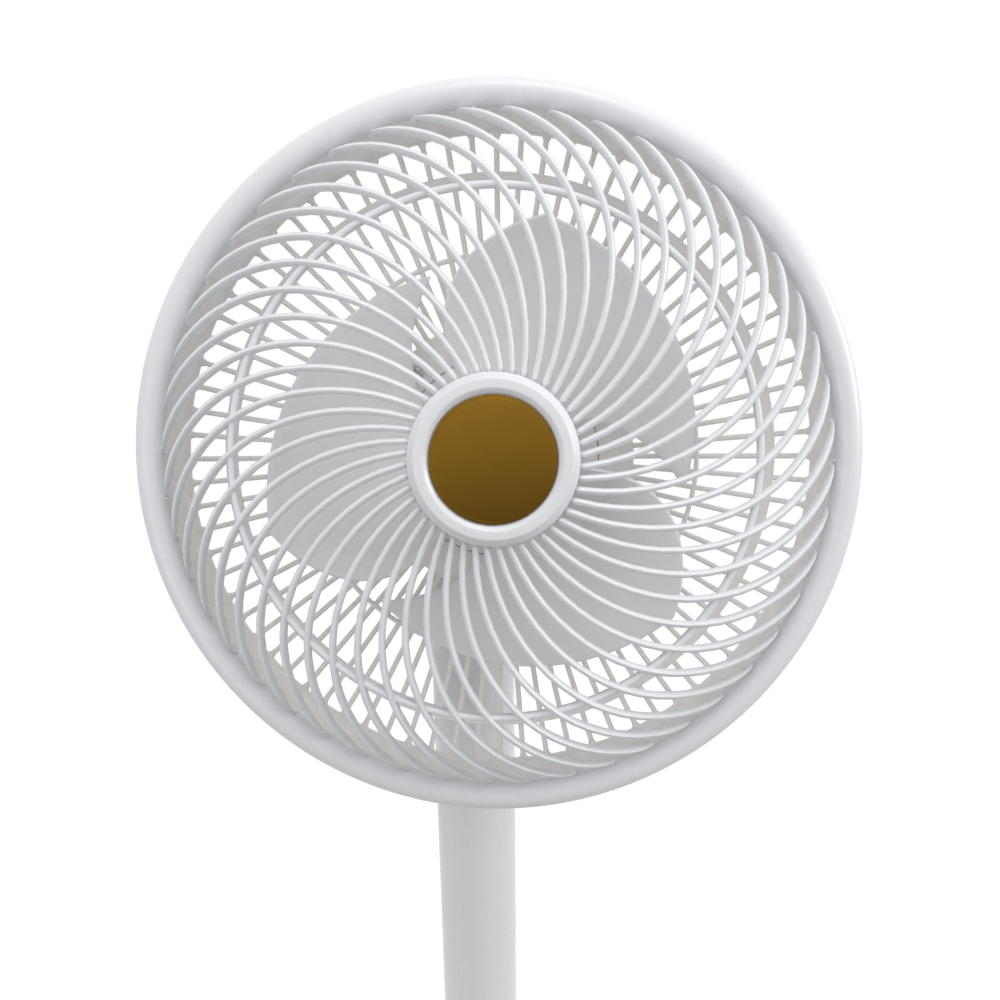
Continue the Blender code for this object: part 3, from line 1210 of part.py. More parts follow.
def base_cover(coat, parent):
    edge = BASE_RADIUS - BASE_EDGE_ROUND
    inside = BASE_EDGE_ROUND - BASE_WALL
    cove = SOCKET_RADIUS + SOCKET_FILLET
    outline = [(BASE_RADIUS - BASE_WALL, BASE_SKIRT_FOOT), (BASE_RADIUS, BASE_SKIRT_FOOT)]
    outline += arc((edge, BASE_HEIGHT - BASE_EDGE_ROUND), BASE_EDGE_ROUND, 0, 90, 3)
    outline += arc((cove, base_top(cove) + SOCKET_FILLET), SOCKET_FILLET, 270, 180, 2)
    outline += [
        (SOCKET_RADIUS, SOCKET_TOP - SOCKET_CHAMFER),
        (SOCKET_RADIUS - SOCKET_CHAMFER, SOCKET_TOP),
        (SOCKET_BORE, SOCKET_TOP),
        (SOCKET_BORE, SOCKET_FLOOR),
        (SOCKET_BORE - SOCKET_LIP_INSET, SOCKET_FLOOR),
        (SOCKET_BORE - SOCKET_LIP_INSET, SOCKET_FLOOR - SOCKET_LIP),
        (SOCKET_RADIUS - BASE_WALL, SOCKET_FLOOR - SOCKET_LIP),
        (SOCKET_RADIUS - BASE_WALL, BASE_CROWN - BASE_WALL),
    ]
    outline += arc((edge, BASE_HEIGHT - BASE_EDGE_ROUND), inside, 90, 0, 1)
    shell = lathe(outline, BASE_SIDES)
    bosses, cutters = [], []
    boss_foot = PLATE_TOP + GAP
    under = base_top(BASE_SCREW_CIRCLE) - BASE_WALL
    for place in base_screw_places():
        bosses.append(placed(disc(BASE_BOSS_RADIUS, boss_foot, under + BITE, PIN_SIDES), *place.xy))
        cutters.append(placed(disc(SCREW_RADIUS + RUNNING, boss_foot - BITE, under - BITE, SCREW_SIDES), *place.xy))
    for turn in button_turns():
        hole = disc(BUTTON_RADIUS + GAP, SWITCH_TOP, BASE_CROWN + BITE, PIN_SIDES)
        cutters.append(placed(hole, *polar(BUTTON_CIRCLE, turn).xy))
    inlet = along_y(disc(INLET_RADIUS + GAP, -BASE_RADIUS - BITE, -BASE_RADIUS + 2 * BASE_WALL, PIN_SIDES))
    cutters.append(placed(inlet, z=INLET_HEIGHT))
    return piece("base_cover", cut(joined(shell, together(bosses)), together(cutters)), coat, parent)


def base_inside(steel, iron, rubber, parent):
    plate = disc(BASE_RADIUS - BASE_WALL - GAP, PLATE_BOTTOM, PLATE_TOP, BASE_SIDES)
    drill = (PLATE_BOTTOM - BITE, PLATE_TOP + BITE)
    holes = [disc(BASE_BOLT_RADIUS + GAP, *drill, PIN_SIDES)]
    under = PLATE_BOTTOM - GAP
    flip = Matrix.Rotation(pi, 4, "X")
    size = (SCREW_RADIUS, SCREW_HEAD_RADIUS, SCREW_HEAD_THICK, BASE_SCREW_LENGTH)
    for number, place in enumerate(base_screw_places(), 1):
        holes.append(placed(disc(SCREW_RADIUS + RUNNING, *drill, SCREW_SIDES), *place.xy))
        head = (place.x, place.y, under)
        screw(f"base_screw_{number}", *size, steel, parent, head, flip)
    for number, turn in enumerate(spread(FEET, 45), 1):
        place = polar(FOOT_CIRCLE, turn)
        holes.append(placed(disc(FOOT_STEM_RADIUS + 2 * GAP, *drill, SCREW_SIDES), *place.xy))
        outline = [
            (0, 0),
            (FOOT_RADIUS, 0),
            (FOOT_RADIUS, FOOT_HEIGHT),
            (FOOT_STEM_RADIUS, FOOT_HEIGHT),
            (FOOT_STEM_RADIUS, PLATE_TOP - GAP),
            (0, PLATE_TOP - GAP),
        ]
        piece(f"foot_{number}", lathe(outline, PIN_SIDES), rubber, parent, place)
    piece("base_plate", cut(plate, together(holes)), steel, parent)
    piece("ballast_weight", ring(BALLAST_INNER, BALLAST_OUTER, BALLAST_BOTTOM, BALLAST_TOP, LARGE_SIDES), iron, parent)


def controls(coat, dark, green, parent):
    """Five push buttons over switches on a board, which lies in a tray on the ballast."""
    turns = button_turns()
    reach = BUTTON_CIRCLE * sin(turns[-1] + pi / 2) + SWITCH_SIDE
    middle = -BUTTON_CIRCLE * (1 + cos(turns[-1] + pi / 2)) / 2
    near, far = middle - BOARD_DEPTH / 2, middle + BOARD_DEPTH / 2
    board = block((-reach, near, BOARD_BOTTOM), (reach, far, BOARD_BOTTOM + BOARD_THICK))
    switches = []
    half = SWITCH_SIDE / 2
    for turn in turns:
        x, y = polar(BUTTON_CIRCLE, turn).xy
        low = BOARD_BOTTOM + BOARD_THICK / 2
        switches.append(block((x - half, y - half, low), (x + half, y + half, SWITCH_TOP)))
    piece("control_board", joined(board, together(switches)), green, parent)
    rim = GAP + TRAY_THICK
    tray = block(
        (-reach - rim, near - rim, TRAY_BOTTOM), (reach + rim, far + rim, BOARD_BOTTOM + BOARD_THICK)
    )
    well = block(
        (-reach - GAP, near - GAP, TRAY_BOTTOM + TRAY_THICK), (reach + GAP, far + GAP, BOARD_BOTTOM + 2 * BOARD_THICK)
    )
    piece("control_tray", cut(tray, well), dark, parent)
    foot = SWITCH_TOP + BUTTON_TRAVEL + GAP
    top = base_top(BUTTON_CIRCLE) + BUTTON_PROUD
    for number, turn in enumerate(turns, 1):
        outline = [
            (0, foot - top),
            (BUTTON_RADIUS + BUTTON_FLANGE, foot - top),
            (BUTTON_RADIUS + BUTTON_FLANGE, foot - top + BUTTON_FLANGE),
            (BUTTON_RADIUS, foot - top + BUTTON_FLANGE),
            (BUTTON_RADIUS, 0),
            (0, 0),
        ]
        place = polar(BUTTON_CIRCLE, turn, top)
        piece(f"button_{number}", lathe(outline, PIN_SIDES), coat, parent, place)


def dc_inlet(dark, parent):
    """A round power inlet in the back of the base, with a pin in its bore."""
    wide, long, tall = INLET_BODY
    face = BASE_RADIUS - GAP
    back = face - BASE_WALL - 2 * GAP - long
    body = block((-wide / 2, back, INLET_HEIGHT - tall / 2), (wide / 2, back + long, INLET_HEIGHT + tall / 2))
    barrel = placed(along_y(disc(INLET_RADIUS, -face, -back - BITE, MEDIUM_SIDES)), z=INLET_HEIGHT)
    bore = placed(along_y(disc(INLET_BORE_RADIUS, -face - BITE, -face + long, MEDIUM_SIDES)), z=INLET_HEIGHT)
    pin = placed(along_y(disc(INLET_PIN_RADIUS, -face + BITE, -back - BITE, SCREW_SIDES)), z=INLET_HEIGHT)
    return piece("dc_inlet", joined(cut(joined(body, barrel), bore), pin), dark, parent)


# --- The whole fan ------------------------------------------------------------------------------


def main():
    clear_scene()
    gloss = finish("white_gloss_plastic", (0.86, 0.86, 0.85), 0.28)
    satin = finish("white_satin_plastic", (0.72, 0.71, 0.69), 0.42)
    blade_plastic = finish("pale_blade_plastic", (0.62, 0.63, 0.62), 0.38)
    gold = finish("gold_badge", (0.36, 0.20, 0.03), 0.35, 1.0)
    steel = finish("plain_steel", (0.58, 0.58, 0.57), 0.35, 1.0)
    dark = finish("dark_plastic", (0.05, 0.05, 0.05), 0.5)
    rubber = finish("black_rubber", (0.03, 0.03, 0.03), 0.8)
    copper = finish("copper_winding", (0.55, 0.20, 0.08), 0.4, 1.0)
    green = finish("green_board", (0.02, 0.16, 0.06), 0.5)
    iron = finish("cast_iron", (0.13, 0.13, 0.13), 0.7, 1.0)

    stand = frame("stand_axis", at=(POLE_X, 0, 0))
    pan_axis = frame("pan_axis", stand)
    tilt_axis = frame("tilt_axis", pan_axis, (0, 0, TILT_AXIS_HEIGHT), (pi / 2 - TILT, 0, 0))
    fan_axis = frame("fan_axis", tilt_axis, (HEAD_OFFSET, TILT_AXIS_BELOW, TILT_AXIS_BEHIND))

    front_guard(gloss, fan_axis)
    badge_disc(gold, fan_axis)
    rear_guard(satin, fan_axis)
    guard_screws(steel, fan_axis)
    motor_front_cover(satin, fan_axis)
    motor_rear_cover(gloss, fan_axis)
    motor_inside(steel, copper, green, fan_axis)
    impeller_shaft(steel, fan_axis)
    impeller(blade_plastic, fan_axis)
    impeller_nut(satin, fan_axis)
    tilt_bracket(gloss, steel, fan_axis)

    neck_housing(gloss, pan_axis)
    tilt_pin(steel, dark, pan_axis)
    neck_floor(dark, pan_axis)
    pan_motor(steel, pan_axis)
    pan_gears(satin, dark, stand, pan_axis)
    pan_post(dark, steel, stand)

    pole(gloss, dark, steel, stand)
    base_cover(gloss, stand)
    base_inside(steel, iron, rubber, stand)
    controls(satin, dark, green, stand)
    dc_inlet(dark, stand)


main()
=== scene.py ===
"""The looks of a pedestal fan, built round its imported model.

The head is white moulded plastic: a swirl-ribbed front guard with a gold disc at its hub, a
straight-spoked rear guard and a three-bladed impeller. Under it are a fork-shaped neck, a plain pole and
a round base with five buttons. Each piece is drawn on the bench round the Z axis, then set in its place.
Lengths are metres.
"""

import json
from math import acos, atan2, cos, hypot, pi, radians, sin, sqrt, tan

import bmesh
import bpy
from mathutils import Matrix, Vector

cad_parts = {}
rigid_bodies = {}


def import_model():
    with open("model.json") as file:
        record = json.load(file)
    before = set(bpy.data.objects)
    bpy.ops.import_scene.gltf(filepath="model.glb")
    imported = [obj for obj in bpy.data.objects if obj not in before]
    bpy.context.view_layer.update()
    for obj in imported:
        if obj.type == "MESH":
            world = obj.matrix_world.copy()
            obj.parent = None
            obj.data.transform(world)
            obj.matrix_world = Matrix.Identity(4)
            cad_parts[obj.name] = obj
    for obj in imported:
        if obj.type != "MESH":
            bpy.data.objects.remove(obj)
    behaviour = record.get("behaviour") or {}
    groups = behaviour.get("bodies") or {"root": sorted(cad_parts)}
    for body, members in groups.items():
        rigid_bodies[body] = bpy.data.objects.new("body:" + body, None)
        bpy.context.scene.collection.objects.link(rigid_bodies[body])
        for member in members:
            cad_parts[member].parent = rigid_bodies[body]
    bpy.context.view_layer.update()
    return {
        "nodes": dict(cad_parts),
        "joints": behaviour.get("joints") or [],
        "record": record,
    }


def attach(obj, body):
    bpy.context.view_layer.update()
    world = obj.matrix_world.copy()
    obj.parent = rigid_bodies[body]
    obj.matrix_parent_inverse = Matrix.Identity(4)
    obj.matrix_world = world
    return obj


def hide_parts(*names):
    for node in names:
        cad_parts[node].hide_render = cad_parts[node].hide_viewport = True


MM = 0.001

for leftover in list(bpy.data.objects):
    bpy.data.objects.remove(leftover, do_unlink=True)

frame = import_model()

# --- Sizes of the head: heights are along the fan's axis, from the plane where its rim is widest

HEAD_RADIUS = 164.7 * MM
DRUM_RADIUS = 151.5 * MM
DRUM_WALL = 3.0 * MM
DRUM_DEPTH = 27.0 * MM
RIM_FRONT = 12.0 * MM
RIM_SKIRT = 13.0 * MM
RIM_WALL = 3.0 * MM
RIM_LIP = 4.6 * MM
RIM_SEAM = 2.0 * MM
DRUM_FLANGE_BACK = 12.5 * MM
DRUM_FLANGE = 2.5 * MM

RIBS = 48
RIB_WIDTH = 3.0 * MM
RIB_DEPTH = 4.4 * MM
RIB_LOOPS = 22
RIB_SIDES = 12
RIB_ROOT = (33.7 * MM, 34.8 * MM, 35.5 * MM, 36.2 * MM, 37.0 * MM, 38.4 * MM)  # loops at its nose
RIB_END = 151.9 * MM
RIB_START_DEG = 2.4
RIB_SWEEP_DEG = 35.87
RIB_HOOK_DEG = 7.0
RIB_HOOK_POWER = 3.2
RIB_TIP_DEG = 6.0
RIB_TIP_POWER = 6.5
DOME_FOOT = 4.0 * MM
DOME_RISE = 46.0 * MM
DOME_POWER = 3.5
NOSE_DROP = 2.6 * MM
NOSE_START = 34.6 * MM
NOSE_LENGTH = 2.6 * MM
TAPER_START = 146.5 * MM
TAPER_LENGTH = 5.4 * MM
TAPER_SHARE = 0.6
SWELL_START = 80 * MM
SWELL_LENGTH = 50 * MM
SWELL_WIDER = 0.16
SWELL_DEEPER = 0.45
NUB_DEGREES = (93.4, -0.6, -88.0, 186.6)
STIFF_RING_RADIUS = 112.4 * MM
STIFF_RING_WIDTH = 2.9 * MM
STIFF_RING_DEPTH = 4.4 * MM
STIFF_RING_SINK = 1.6 * MM

CAP_RADIUS = 35.8 * MM
CAP_DEPTH = 18.0 * MM
CAP_WALL = 3.2 * MM
CAP_FRONT = 56.0 * MM
DISC_RADIUS = 26.5 * MM
DISC_RECESS = 2.6 * MM
DISC_THICK = 1.2 * MM

SPOKES = 80
SPOKE_WIDTH = 2.6 * MM
SPOKE_DEPTH = 3.2 * MM
CONE_FALL = 20.0 * MM
PLATE_RADIUS = 67.5 * MM
PLATE_BORE = 50.0 * MM
THIN_RING_RADIUS = 97.9 * MM
THIN_RING_WIDTH = 2.0 * MM
BAND_RADIUS = 131.5 * MM
BAND_WIDTH = 5.4 * MM

BLADES = 3
BLADE_PEAK = radians(78)
BLADE_THICK = 2.2 * MM
HUB_RADIUS = 36.0 * MM
HUB_FRONT = 24.0 * MM
HUB_REAR = -34.0 * MM
HUB_WALL = 2.6 * MM

MOTOR_RADIUS = 52.0 * MM
MOTOR_FRONT = -53.8 * MM
MOTOR_BACK = -113.8 * MM
MOTOR_WALL = 2.5 * MM
MOTOR_FLANGE_RADIUS = 66.0 * MM
MOTOR_FLANGE_THICK = 2.5 * MM
COVER_FRONT = -50.5 * MM
COVER_BACK = -53.5 * MM
PLATE_FRONT = -47.0 * MM
PLATE_BACK = -50.2 * MM
SHAFT_RADIUS = 4.0 * MM
BEARING_SEAT = 11.3 * MM
BEARING_HOUSING = 14.3 * MM
GUARD_SCREW_CIRCLE = 58.5 * MM
SCREW_HEAD_ROOM = 0.3 * MM
LOCK_SCREW_DROP = 157.85 * MM
LOCK_SCREW_SEAT = -12.8 * MM

BRACKET_MIDDLE = -84.0 * MM
BRACKET_SCREW_SPREAD = 18.0 * MM
BRACKET_SCREW_ASIDE = 2.1 * MM
BRACKET_SCREW_SEAT = 55.6 * MM
KNUCKLE_HEIGHT = -74.0 * MM
KNUCKLE_LEFT = -27.4 * MM
KNUCKLE_RIGHT = -5.4 * MM
KNUCKLE_RADIUS = 15.0 * MM
HINGE_BORE = 4.2 * MM

# --- Sizes of the neck, pole and base: heights are above the floor --

TILT_HEIGHT = 705.0 * MM
NECK_FOOT = 598.3 * MM
NECK_WALL = 2.5 * MM
EAR_RADIUS = 16.0 * MM
FORK_FLOOR = 681.0 * MM
FORK_HALF = 12.6 * MM
FLARE = 675.0 * MM
POLE_RADIUS = 23.0 * MM
POLE_WALL = 2.0 * MM
POLE_TOP = 598.0 * MM
POLE_SPLIT = 318.0 * MM
POLE_FOOT = 10.3 * MM

BASE_RADIUS = 148.5 * MM
BASE_SKIRT_FOOT = 4.0 * MM
BASE_HEIGHT = 25.0 * MM
BASE_CROWN = 31.0 * MM
BASE_EDGE = 10.0 * MM
BASE_WALL = 2.5 * MM
SOCKET_RADIUS = 29.0 * MM
SOCKET_TOP = 52.0 * MM
SOCKET_FLOOR = 10.0 * MM
BASE_SCREW_CIRCLE = 132.5 * MM
FOOT_CIRCLE = 116.5 * MM
BUTTON_CIRCLE = 102.5 * MM
BUTTON_PITCH = 20.0 * MM
INLET_HEIGHT = 10.6 * MM

# --- Places ---------------------------------------------------------

joints = {joint["name"]: joint for joint in frame["joints"]}
spin = joints["impeller_spin"]
HEAD = Matrix.Translation(spin["pos_m"]) @ Matrix.Rotation(acos(spin["axis"][2]), 4, "X")
STAND = Matrix.Translation((joints["head_pan"]["pos_m"][0], 0, 0))
HINGE = STAND @ Matrix.Translation((0, 0, TILT_HEIGHT))
ALONG_X = Matrix.Rotation(pi / 2, 4, "Y")
FACING_X = Matrix(((0, 0, 1, 0), (1, 0, 0, 0), (0, 1, 0, 0), (0, 0, 0, 1)))
UPSIDE_DOWN = Matrix.Rotation(pi, 4, "X")


# --- Bench tools ----------------------------------------------------

SAME_POINT = 0.001 * MM  # points nearer than this are one
SAME_LOOP = 0.01 * MM  # how far a loop's points may stray from its place


def let_go():
    """Leave edit mode and select nothing."""
    if bpy.context.mode != "OBJECT":
        bpy.ops.object.mode_set(mode="OBJECT")
    bpy.ops.object.select_all(action="DESELECT")


def pick_up(piece):
    let_go()
    piece.select_set(True)
    bpy.context.view_layer.objects.active = piece
    return piece


def open_up(piece):
    """Start to edit a piece with all of it selected."""
    pick_up(piece)
    bpy.ops.object.mode_set(mode="EDIT")
    bpy.ops.mesh.select_all(action="SELECT")
    return piece


def merge_points():
    """Select all, and make one point of those that meet."""
    bpy.ops.mesh.select_all(action="SELECT")
    bpy.ops.mesh.remove_doubles(threshold=SAME_POINT)


def close_up(piece):
    """Merge what meets, turn every face outwards and leave edit mode."""
    merge_points()
    bpy.ops.mesh.normals_make_consistent(inside=False)
    bpy.ops.object.mode_set(mode="OBJECT")
    return piece


def freeze(piece):
    """Put a piece's place, turn and size into its mesh."""
    pick_up(piece)
    bpy.ops.object.transform_apply(location=True, rotation=True, scale=True)
    return piece


def newly_made(name):
    """The piece that was just added, named and frozen."""
    piece = bpy.context.object
    piece.name = name
    piece.data.name = name
    return freeze(piece)


def set_down(piece, place):
    piece.matrix_world = place @ piece.matrix_world
    return freeze(piece)


def move(x=0.0, y=0.0, z=0.0):
    bpy.ops.transform.translate(value=(x, y, z))


def turn(angle, axis, about):
    """Turn the selection. With no window the operator turns the other way, so the angle is reversed."""
    bpy.ops.transform.rotate(value=-angle, orient_axis=axis, center_override=about)


def stretch(x, y, z, about):
    bpy.ops.transform.resize(value=(x, y, z), center_override=about)


def extend(x=0.0, y=0.0, z=0.0):
    bpy.ops.mesh.extrude_region_move(TRANSFORM_OT_translate={"value": (x, y, z)})


def polar(radius, angle, height=0.0):
    """The point at this distance and angle round Z."""
    return Vector((radius * cos(angle), radius * sin(angle), height))


def loops_at(piece, places):
    """For each place along X, the numbers of the vertices there."""
    mesh = bmesh.from_edit_mesh(piece.data)
    return [[v.index for v in mesh.verts if abs(v.co.x - place) < SAME_LOOP] for place in places]


def choose(piece, numbers):
    """Select these vertices and nothing else."""
    bpy.ops.mesh.select_all(action="DESELECT")
    mesh = bmesh.from_edit_mesh(piece.data)
    mesh.verts.ensure_lookup_table()
    for number in numbers:
        mesh.verts[number].select = True
    mesh.select_flush_mode()
    bmesh.update_edit_mesh(piece.data)


def join(pieces):
    """One piece from several."""
    let_go()
    for piece in pieces:
        piece.select_set(True)
    bpy.context.view_layer.objects.active = pieces[0]
    bpy.ops.object.join()
    return pieces[0]


def smooth(piece, angle=40):
    pick_up(piece)
    bpy.ops.object.shade_smooth_by_angle(angle=radians(angle))
    return piece


def fitted(piece, place, angle=40):
    """A piece shaded smooth and set down in its place."""
    return set_down(smooth(piece, angle), place)


def apply_all(piece):
    pick_up(piece)
    for modifier in list(piece.modifiers):
        bpy.ops.object.modifier_apply(modifier=modifier.name)
    return piece


def soften(piece, width, segments, angle):
    """Round the edges of a piece that are sharper than an angle."""
    edge = piece.modifiers.new("Soft edges", "BEVEL")
    edge.width = width
    edge.segments = segments
    edge.limit_method = "ANGLE"
    edge.angle_limit = radians(angle)
    edge.use_clamp_overlap = True
    edge.harden_normals = False
    return apply_all(piece)


def carve(piece, cutters, operation="DIFFERENCE"):
    """Cut a piece with others, or unite or intersect it with them. They are used up."""
    for cutter in cutters:
        knife = piece.modifiers.new("Cut", "BOOLEAN")
        knife.operation = operation
        knife.solver = "EXACT"
        knife.object = cutter
        apply_all(piece)
        bpy.data.objects.remove(cutter, do_unlink=True)
    return piece


def eased(corners, closed, steps):
    """The points of an outline, each corner rounded by the third of its numbers."""
    points = []
    count = len(corners)
    for here, corner in enumerate(corners):
        spot = Vector(corner[:2])
        ease = corner[2] if len(corner) > 2 else 0
        if not ease or (not closed and here in (0, count - 1)):
            points.append(spot)
            continue
        back = (Vector(corners[here - 1][:2]) - spot).normalized()
        ahead = (Vector(corners[(here + 1) % count][:2]) - spot).normalized()
        half = back.angle(ahead) / 2
        centre = spot + (back + ahead).normalized() * ease / sin(half)
        first = spot + back * ease / tan(half) - centre
        last = spot + ahead * ease / tan(half) - centre
        sweep = first.angle_signed(last)
        for step in range(steps + 1):
            spoke = first.copy()
            spoke.rotate(Matrix.Rotation(-sweep * step / steps, 2))
            points.append(centre + spoke)
    return points


def drawn(name, points):
    """A wire through these points, drawn out from one merged point and left open for editing."""
    let_go()
    bpy.ops.mesh.primitive_plane_add(size=MM, location=points[0])
    wire = open_up(newly_made(name))
    bpy.ops.mesh.merge(type="CENTER")
    for here, after in zip(points, points[1:]):
        extend(*(after - here))
    merge_points()
    return wire


def turned(name, corners, sides, rounding=5):
    """A body of revolution about Z. An outline that starts on the axis also ends there, and stays open."""
    closed = corners[0][0] > 0
    points = [Vector((point.x, 0, point.y)) for point in eased(corners, closed, rounding)]
    if closed:
        points.append(points[0])
    piece = drawn(name, points)
    bpy.ops.mesh.spin(steps=sides, angle=2 * pi, center=(0, 0, 0), axis=(0, 0, 1))
    return close_up(piece)


def tube(name, bore, radius, start, end, bore_ease, ease, sides, rounding):
    """A tube or flat ring about Z from start to end, rounded at the edges of its bore and outside."""
    corners = [
        (bore, start, bore_ease),
        (radius, start, ease),
        (radius, end, ease),
        (bore, end, bore_ease),
    ]
    return turned(name, corners, sides, rounding)


def pressed(name, corners, low, high, rounding=5):
    """A straight-sided body: an outline drawn on the bench, filled in, then pulled up."""
    points = [Vector((point.x, point.y, low)) for point in eased(corners, True, rounding)]
    piece = drawn(name, points + points[:1])
    bpy.ops.mesh.edge_face_add()
    extend(z=high - low)
    return close_up(piece)


def rod(name, radius, low, high, sides, x=0.0, y=0.0):
    """A plain round bar along Z, as stock to cut or a cutter."""
    let_go()
    middle = (x, y, (low + high) / 2)
    bpy.ops.mesh.primitive_cylinder_add(vertices=sides, radius=radius, depth=high - low, location=middle)
    return newly_made(name)


def slab(name, low, high):
    """A plain block, as stock to cut or a cutter."""
    let_go()
    size = Vector(high) - Vector(low)
    middle = (Vector(low) + Vector(high)) / 2
    bpy.ops.mesh.primitive_cube_add(size=1, location=middle, scale=size)
    return newly_made(name)


def bar_end(name, sides, radius, place):
    """A filled round face that looks along X, open for editing, to be drawn out into a bar."""
    let_go()
    bpy.ops.mesh.primitive_circle_add(
        vertices=sides, radius=radius, fill_type="NGON", location=place, rotation=(0, pi / 2, 0)
    )
    return open_up(newly_made(name))


def repeat_round(piece, count):
    """Copy all of a piece round Z, evenly, inside its own mesh."""
    open_up(piece)
    sweep = 2 * pi * (count - 1) / count
    bpy.ops.mesh.spin(steps=count - 1, angle=sweep, dupli=True, center=(0, 0, 0), axis=(0, 0, 1))
    return close_up(piece)


def copies(master, places):
    """Copies of one piece, which is used up, each in its place, with its body and its node."""
    made = []
    for place, body, node in places:
        twin = master.copy()
        twin.data = master.data.copy()
        twin.name = f"{node}_fine"
        twin.data.name = twin.name
        bpy.context.scene.collection.objects.link(twin)
        made.append((set_down(twin, place), body, node))
    bpy.data.objects.remove(master, do_unlink=True)
    return made


def hand_over(piece, body, node, slot):
    """Give a piece its finish and let it ride in place of its node."""
    piece.data.materials.clear()
    piece.data.materials.append(coats[slot])
    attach(piece, body)
    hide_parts(node)


# --- Finishes -------------------------------------------------------

PATCH_LOW = 0.3  # where in a cloud's range its darkest tone begins to change
PATCH_HIGH = 0.7


def new_finish(name):
    coat = bpy.data.materials.new(name)
    coat.use_nodes = True
    tree = coat.node_tree
    space = tree.nodes.new("ShaderNodeTexCoord").outputs["Object"]
    return coat, tree, tree.nodes["Principled BSDF"], space


def cloud(tree, space, per_metre, detail):
    """Soft random patches, about so many to the metre."""
    noise = tree.nodes.new("ShaderNodeTexNoise")
    noise.inputs["Scale"].default_value = per_metre
    noise.inputs["Detail"].default_value = detail
    tree.links.new(space, noise.inputs["Vector"])
    return noise.outputs["Fac"]


def drifting_tone(tree, patches, colour, drift, shader):
    """Let a colour run darker and lighter with the patches, by this share of itself."""
    ramp = tree.nodes.new("ShaderNodeValToRGB")
    stops = ramp.color_ramp.elements
    for stop, place, share in zip(stops, (PATCH_LOW, PATCH_HIGH), (1 - drift, 1 + drift)):
        stop.position = place
        stop.color = (*(channel * share for channel in colour), 1)
    tree.links.new(patches, ramp.inputs["Fac"])
    tree.links.new(ramp.outputs["Color"], shader.inputs["Base Color"])


def patchy_gloss(tree, patches, low, high, shader):
    """Let the roughness run between two amounts with the patches."""
    spread = tree.nodes.new("ShaderNodeMapRange")
    spread.inputs["From Min"].default_value = PATCH_LOW
    spread.inputs["From Max"].default_value = PATCH_HIGH
    spread.inputs["To Min"].default_value = low
    spread.inputs["To Max"].default_value = high
    tree.links.new(patches, spread.inputs["Value"])
    tree.links.new(spread.outputs["Result"], shader.inputs["Roughness"])


def relief(tree, pattern, depth, shader, under=None):
    """Raise a pattern on the surface, on top of another relief if there is one."""
    bump = tree.nodes.new("ShaderNodeBump")
    bump.inputs["Strength"].default_value = 1.0
    bump.inputs["Distance"].default_value = depth
    tree.links.new(pattern, bump.inputs["Height"])
    if under is not None:
        tree.links.new(under, bump.inputs["Normal"])
    tree.links.new(bump.outputs["Normal"], shader.inputs["Normal"])
    return bump.outputs["Normal"]


def moulded_plastic(name, colour, roughness, pore_depth=0.004 * MM, drift=0.015):
    """Moulded plastic: tone and gloss drift over the part, and fine pores lie over a faint flow."""
    coat, tree, shader, space = new_finish(name)
    flow_depth = 0.006 * MM
    drifting_tone(tree, cloud(tree, space, 11, 3), colour, drift, shader)
    patchy_gloss(tree, cloud(tree, space, 60, 2), roughness - 0.04, roughness + 0.05, shader)
    flow = relief(tree, cloud(tree, space, 90, 1), flow_depth, shader)
    relief(tree, cloud(tree, space, 1800, 2), pore_depth, shader, flow)
    shader.inputs["IOR"].default_value = 1.5
    return coat


def worked_metal(name, colour, roughness, grain_depth=0.003 * MM, drift=0.06):
    """Bare metal: a tone with faint clouds and a fine, uneven grain."""
    coat, tree, shader, space = new_finish(name)
    drifting_tone(tree, cloud(tree, space, 70, 4), colour, drift, shader)
    patchy_gloss(tree, cloud(tree, space, 240, 3), roughness - 0.06, roughness + 0.08, shader)
    relief(tree, cloud(tree, space, 1400, 4), grain_depth, shader)
    shader.inputs["Metallic"].default_value = 1.0
    return coat


def painted_shade_down(tree, centred, foot, top, shader):
    """Painted shade: darken a colour from the top of the disc to its foot, and lighten it at the top, as
    light falling from above would.
    """
    height = tree.nodes.new("ShaderNodeSeparateXYZ")
    tree.links.new(centred, height.inputs["Vector"])
    depth = tree.nodes.new("ShaderNodeMapRange")
    depth.inputs["From Min"].default_value = -DISC_RADIUS
    depth.inputs["From Max"].default_value = DISC_RADIUS
    depth.inputs["To Min"].default_value = foot
    depth.inputs["To Max"].default_value = top
    tree.links.new(height.outputs["Y"], depth.inputs["Value"])
    painted_shade_scale = tree.nodes.new("ShaderNodeVectorMath")
    painted_shade_scale.operation = "SCALE"
    tree.links.new(shader.inputs["Base Color"].links[0].from_socket, painted_shade_scale.inputs["Vector"])
    tree.links.new(depth.outputs["Result"], painted_shade_scale.inputs["Scale"])
    tree.links.new(painted_shade_scale.outputs["Vector"], shader.inputs["Base Color"])


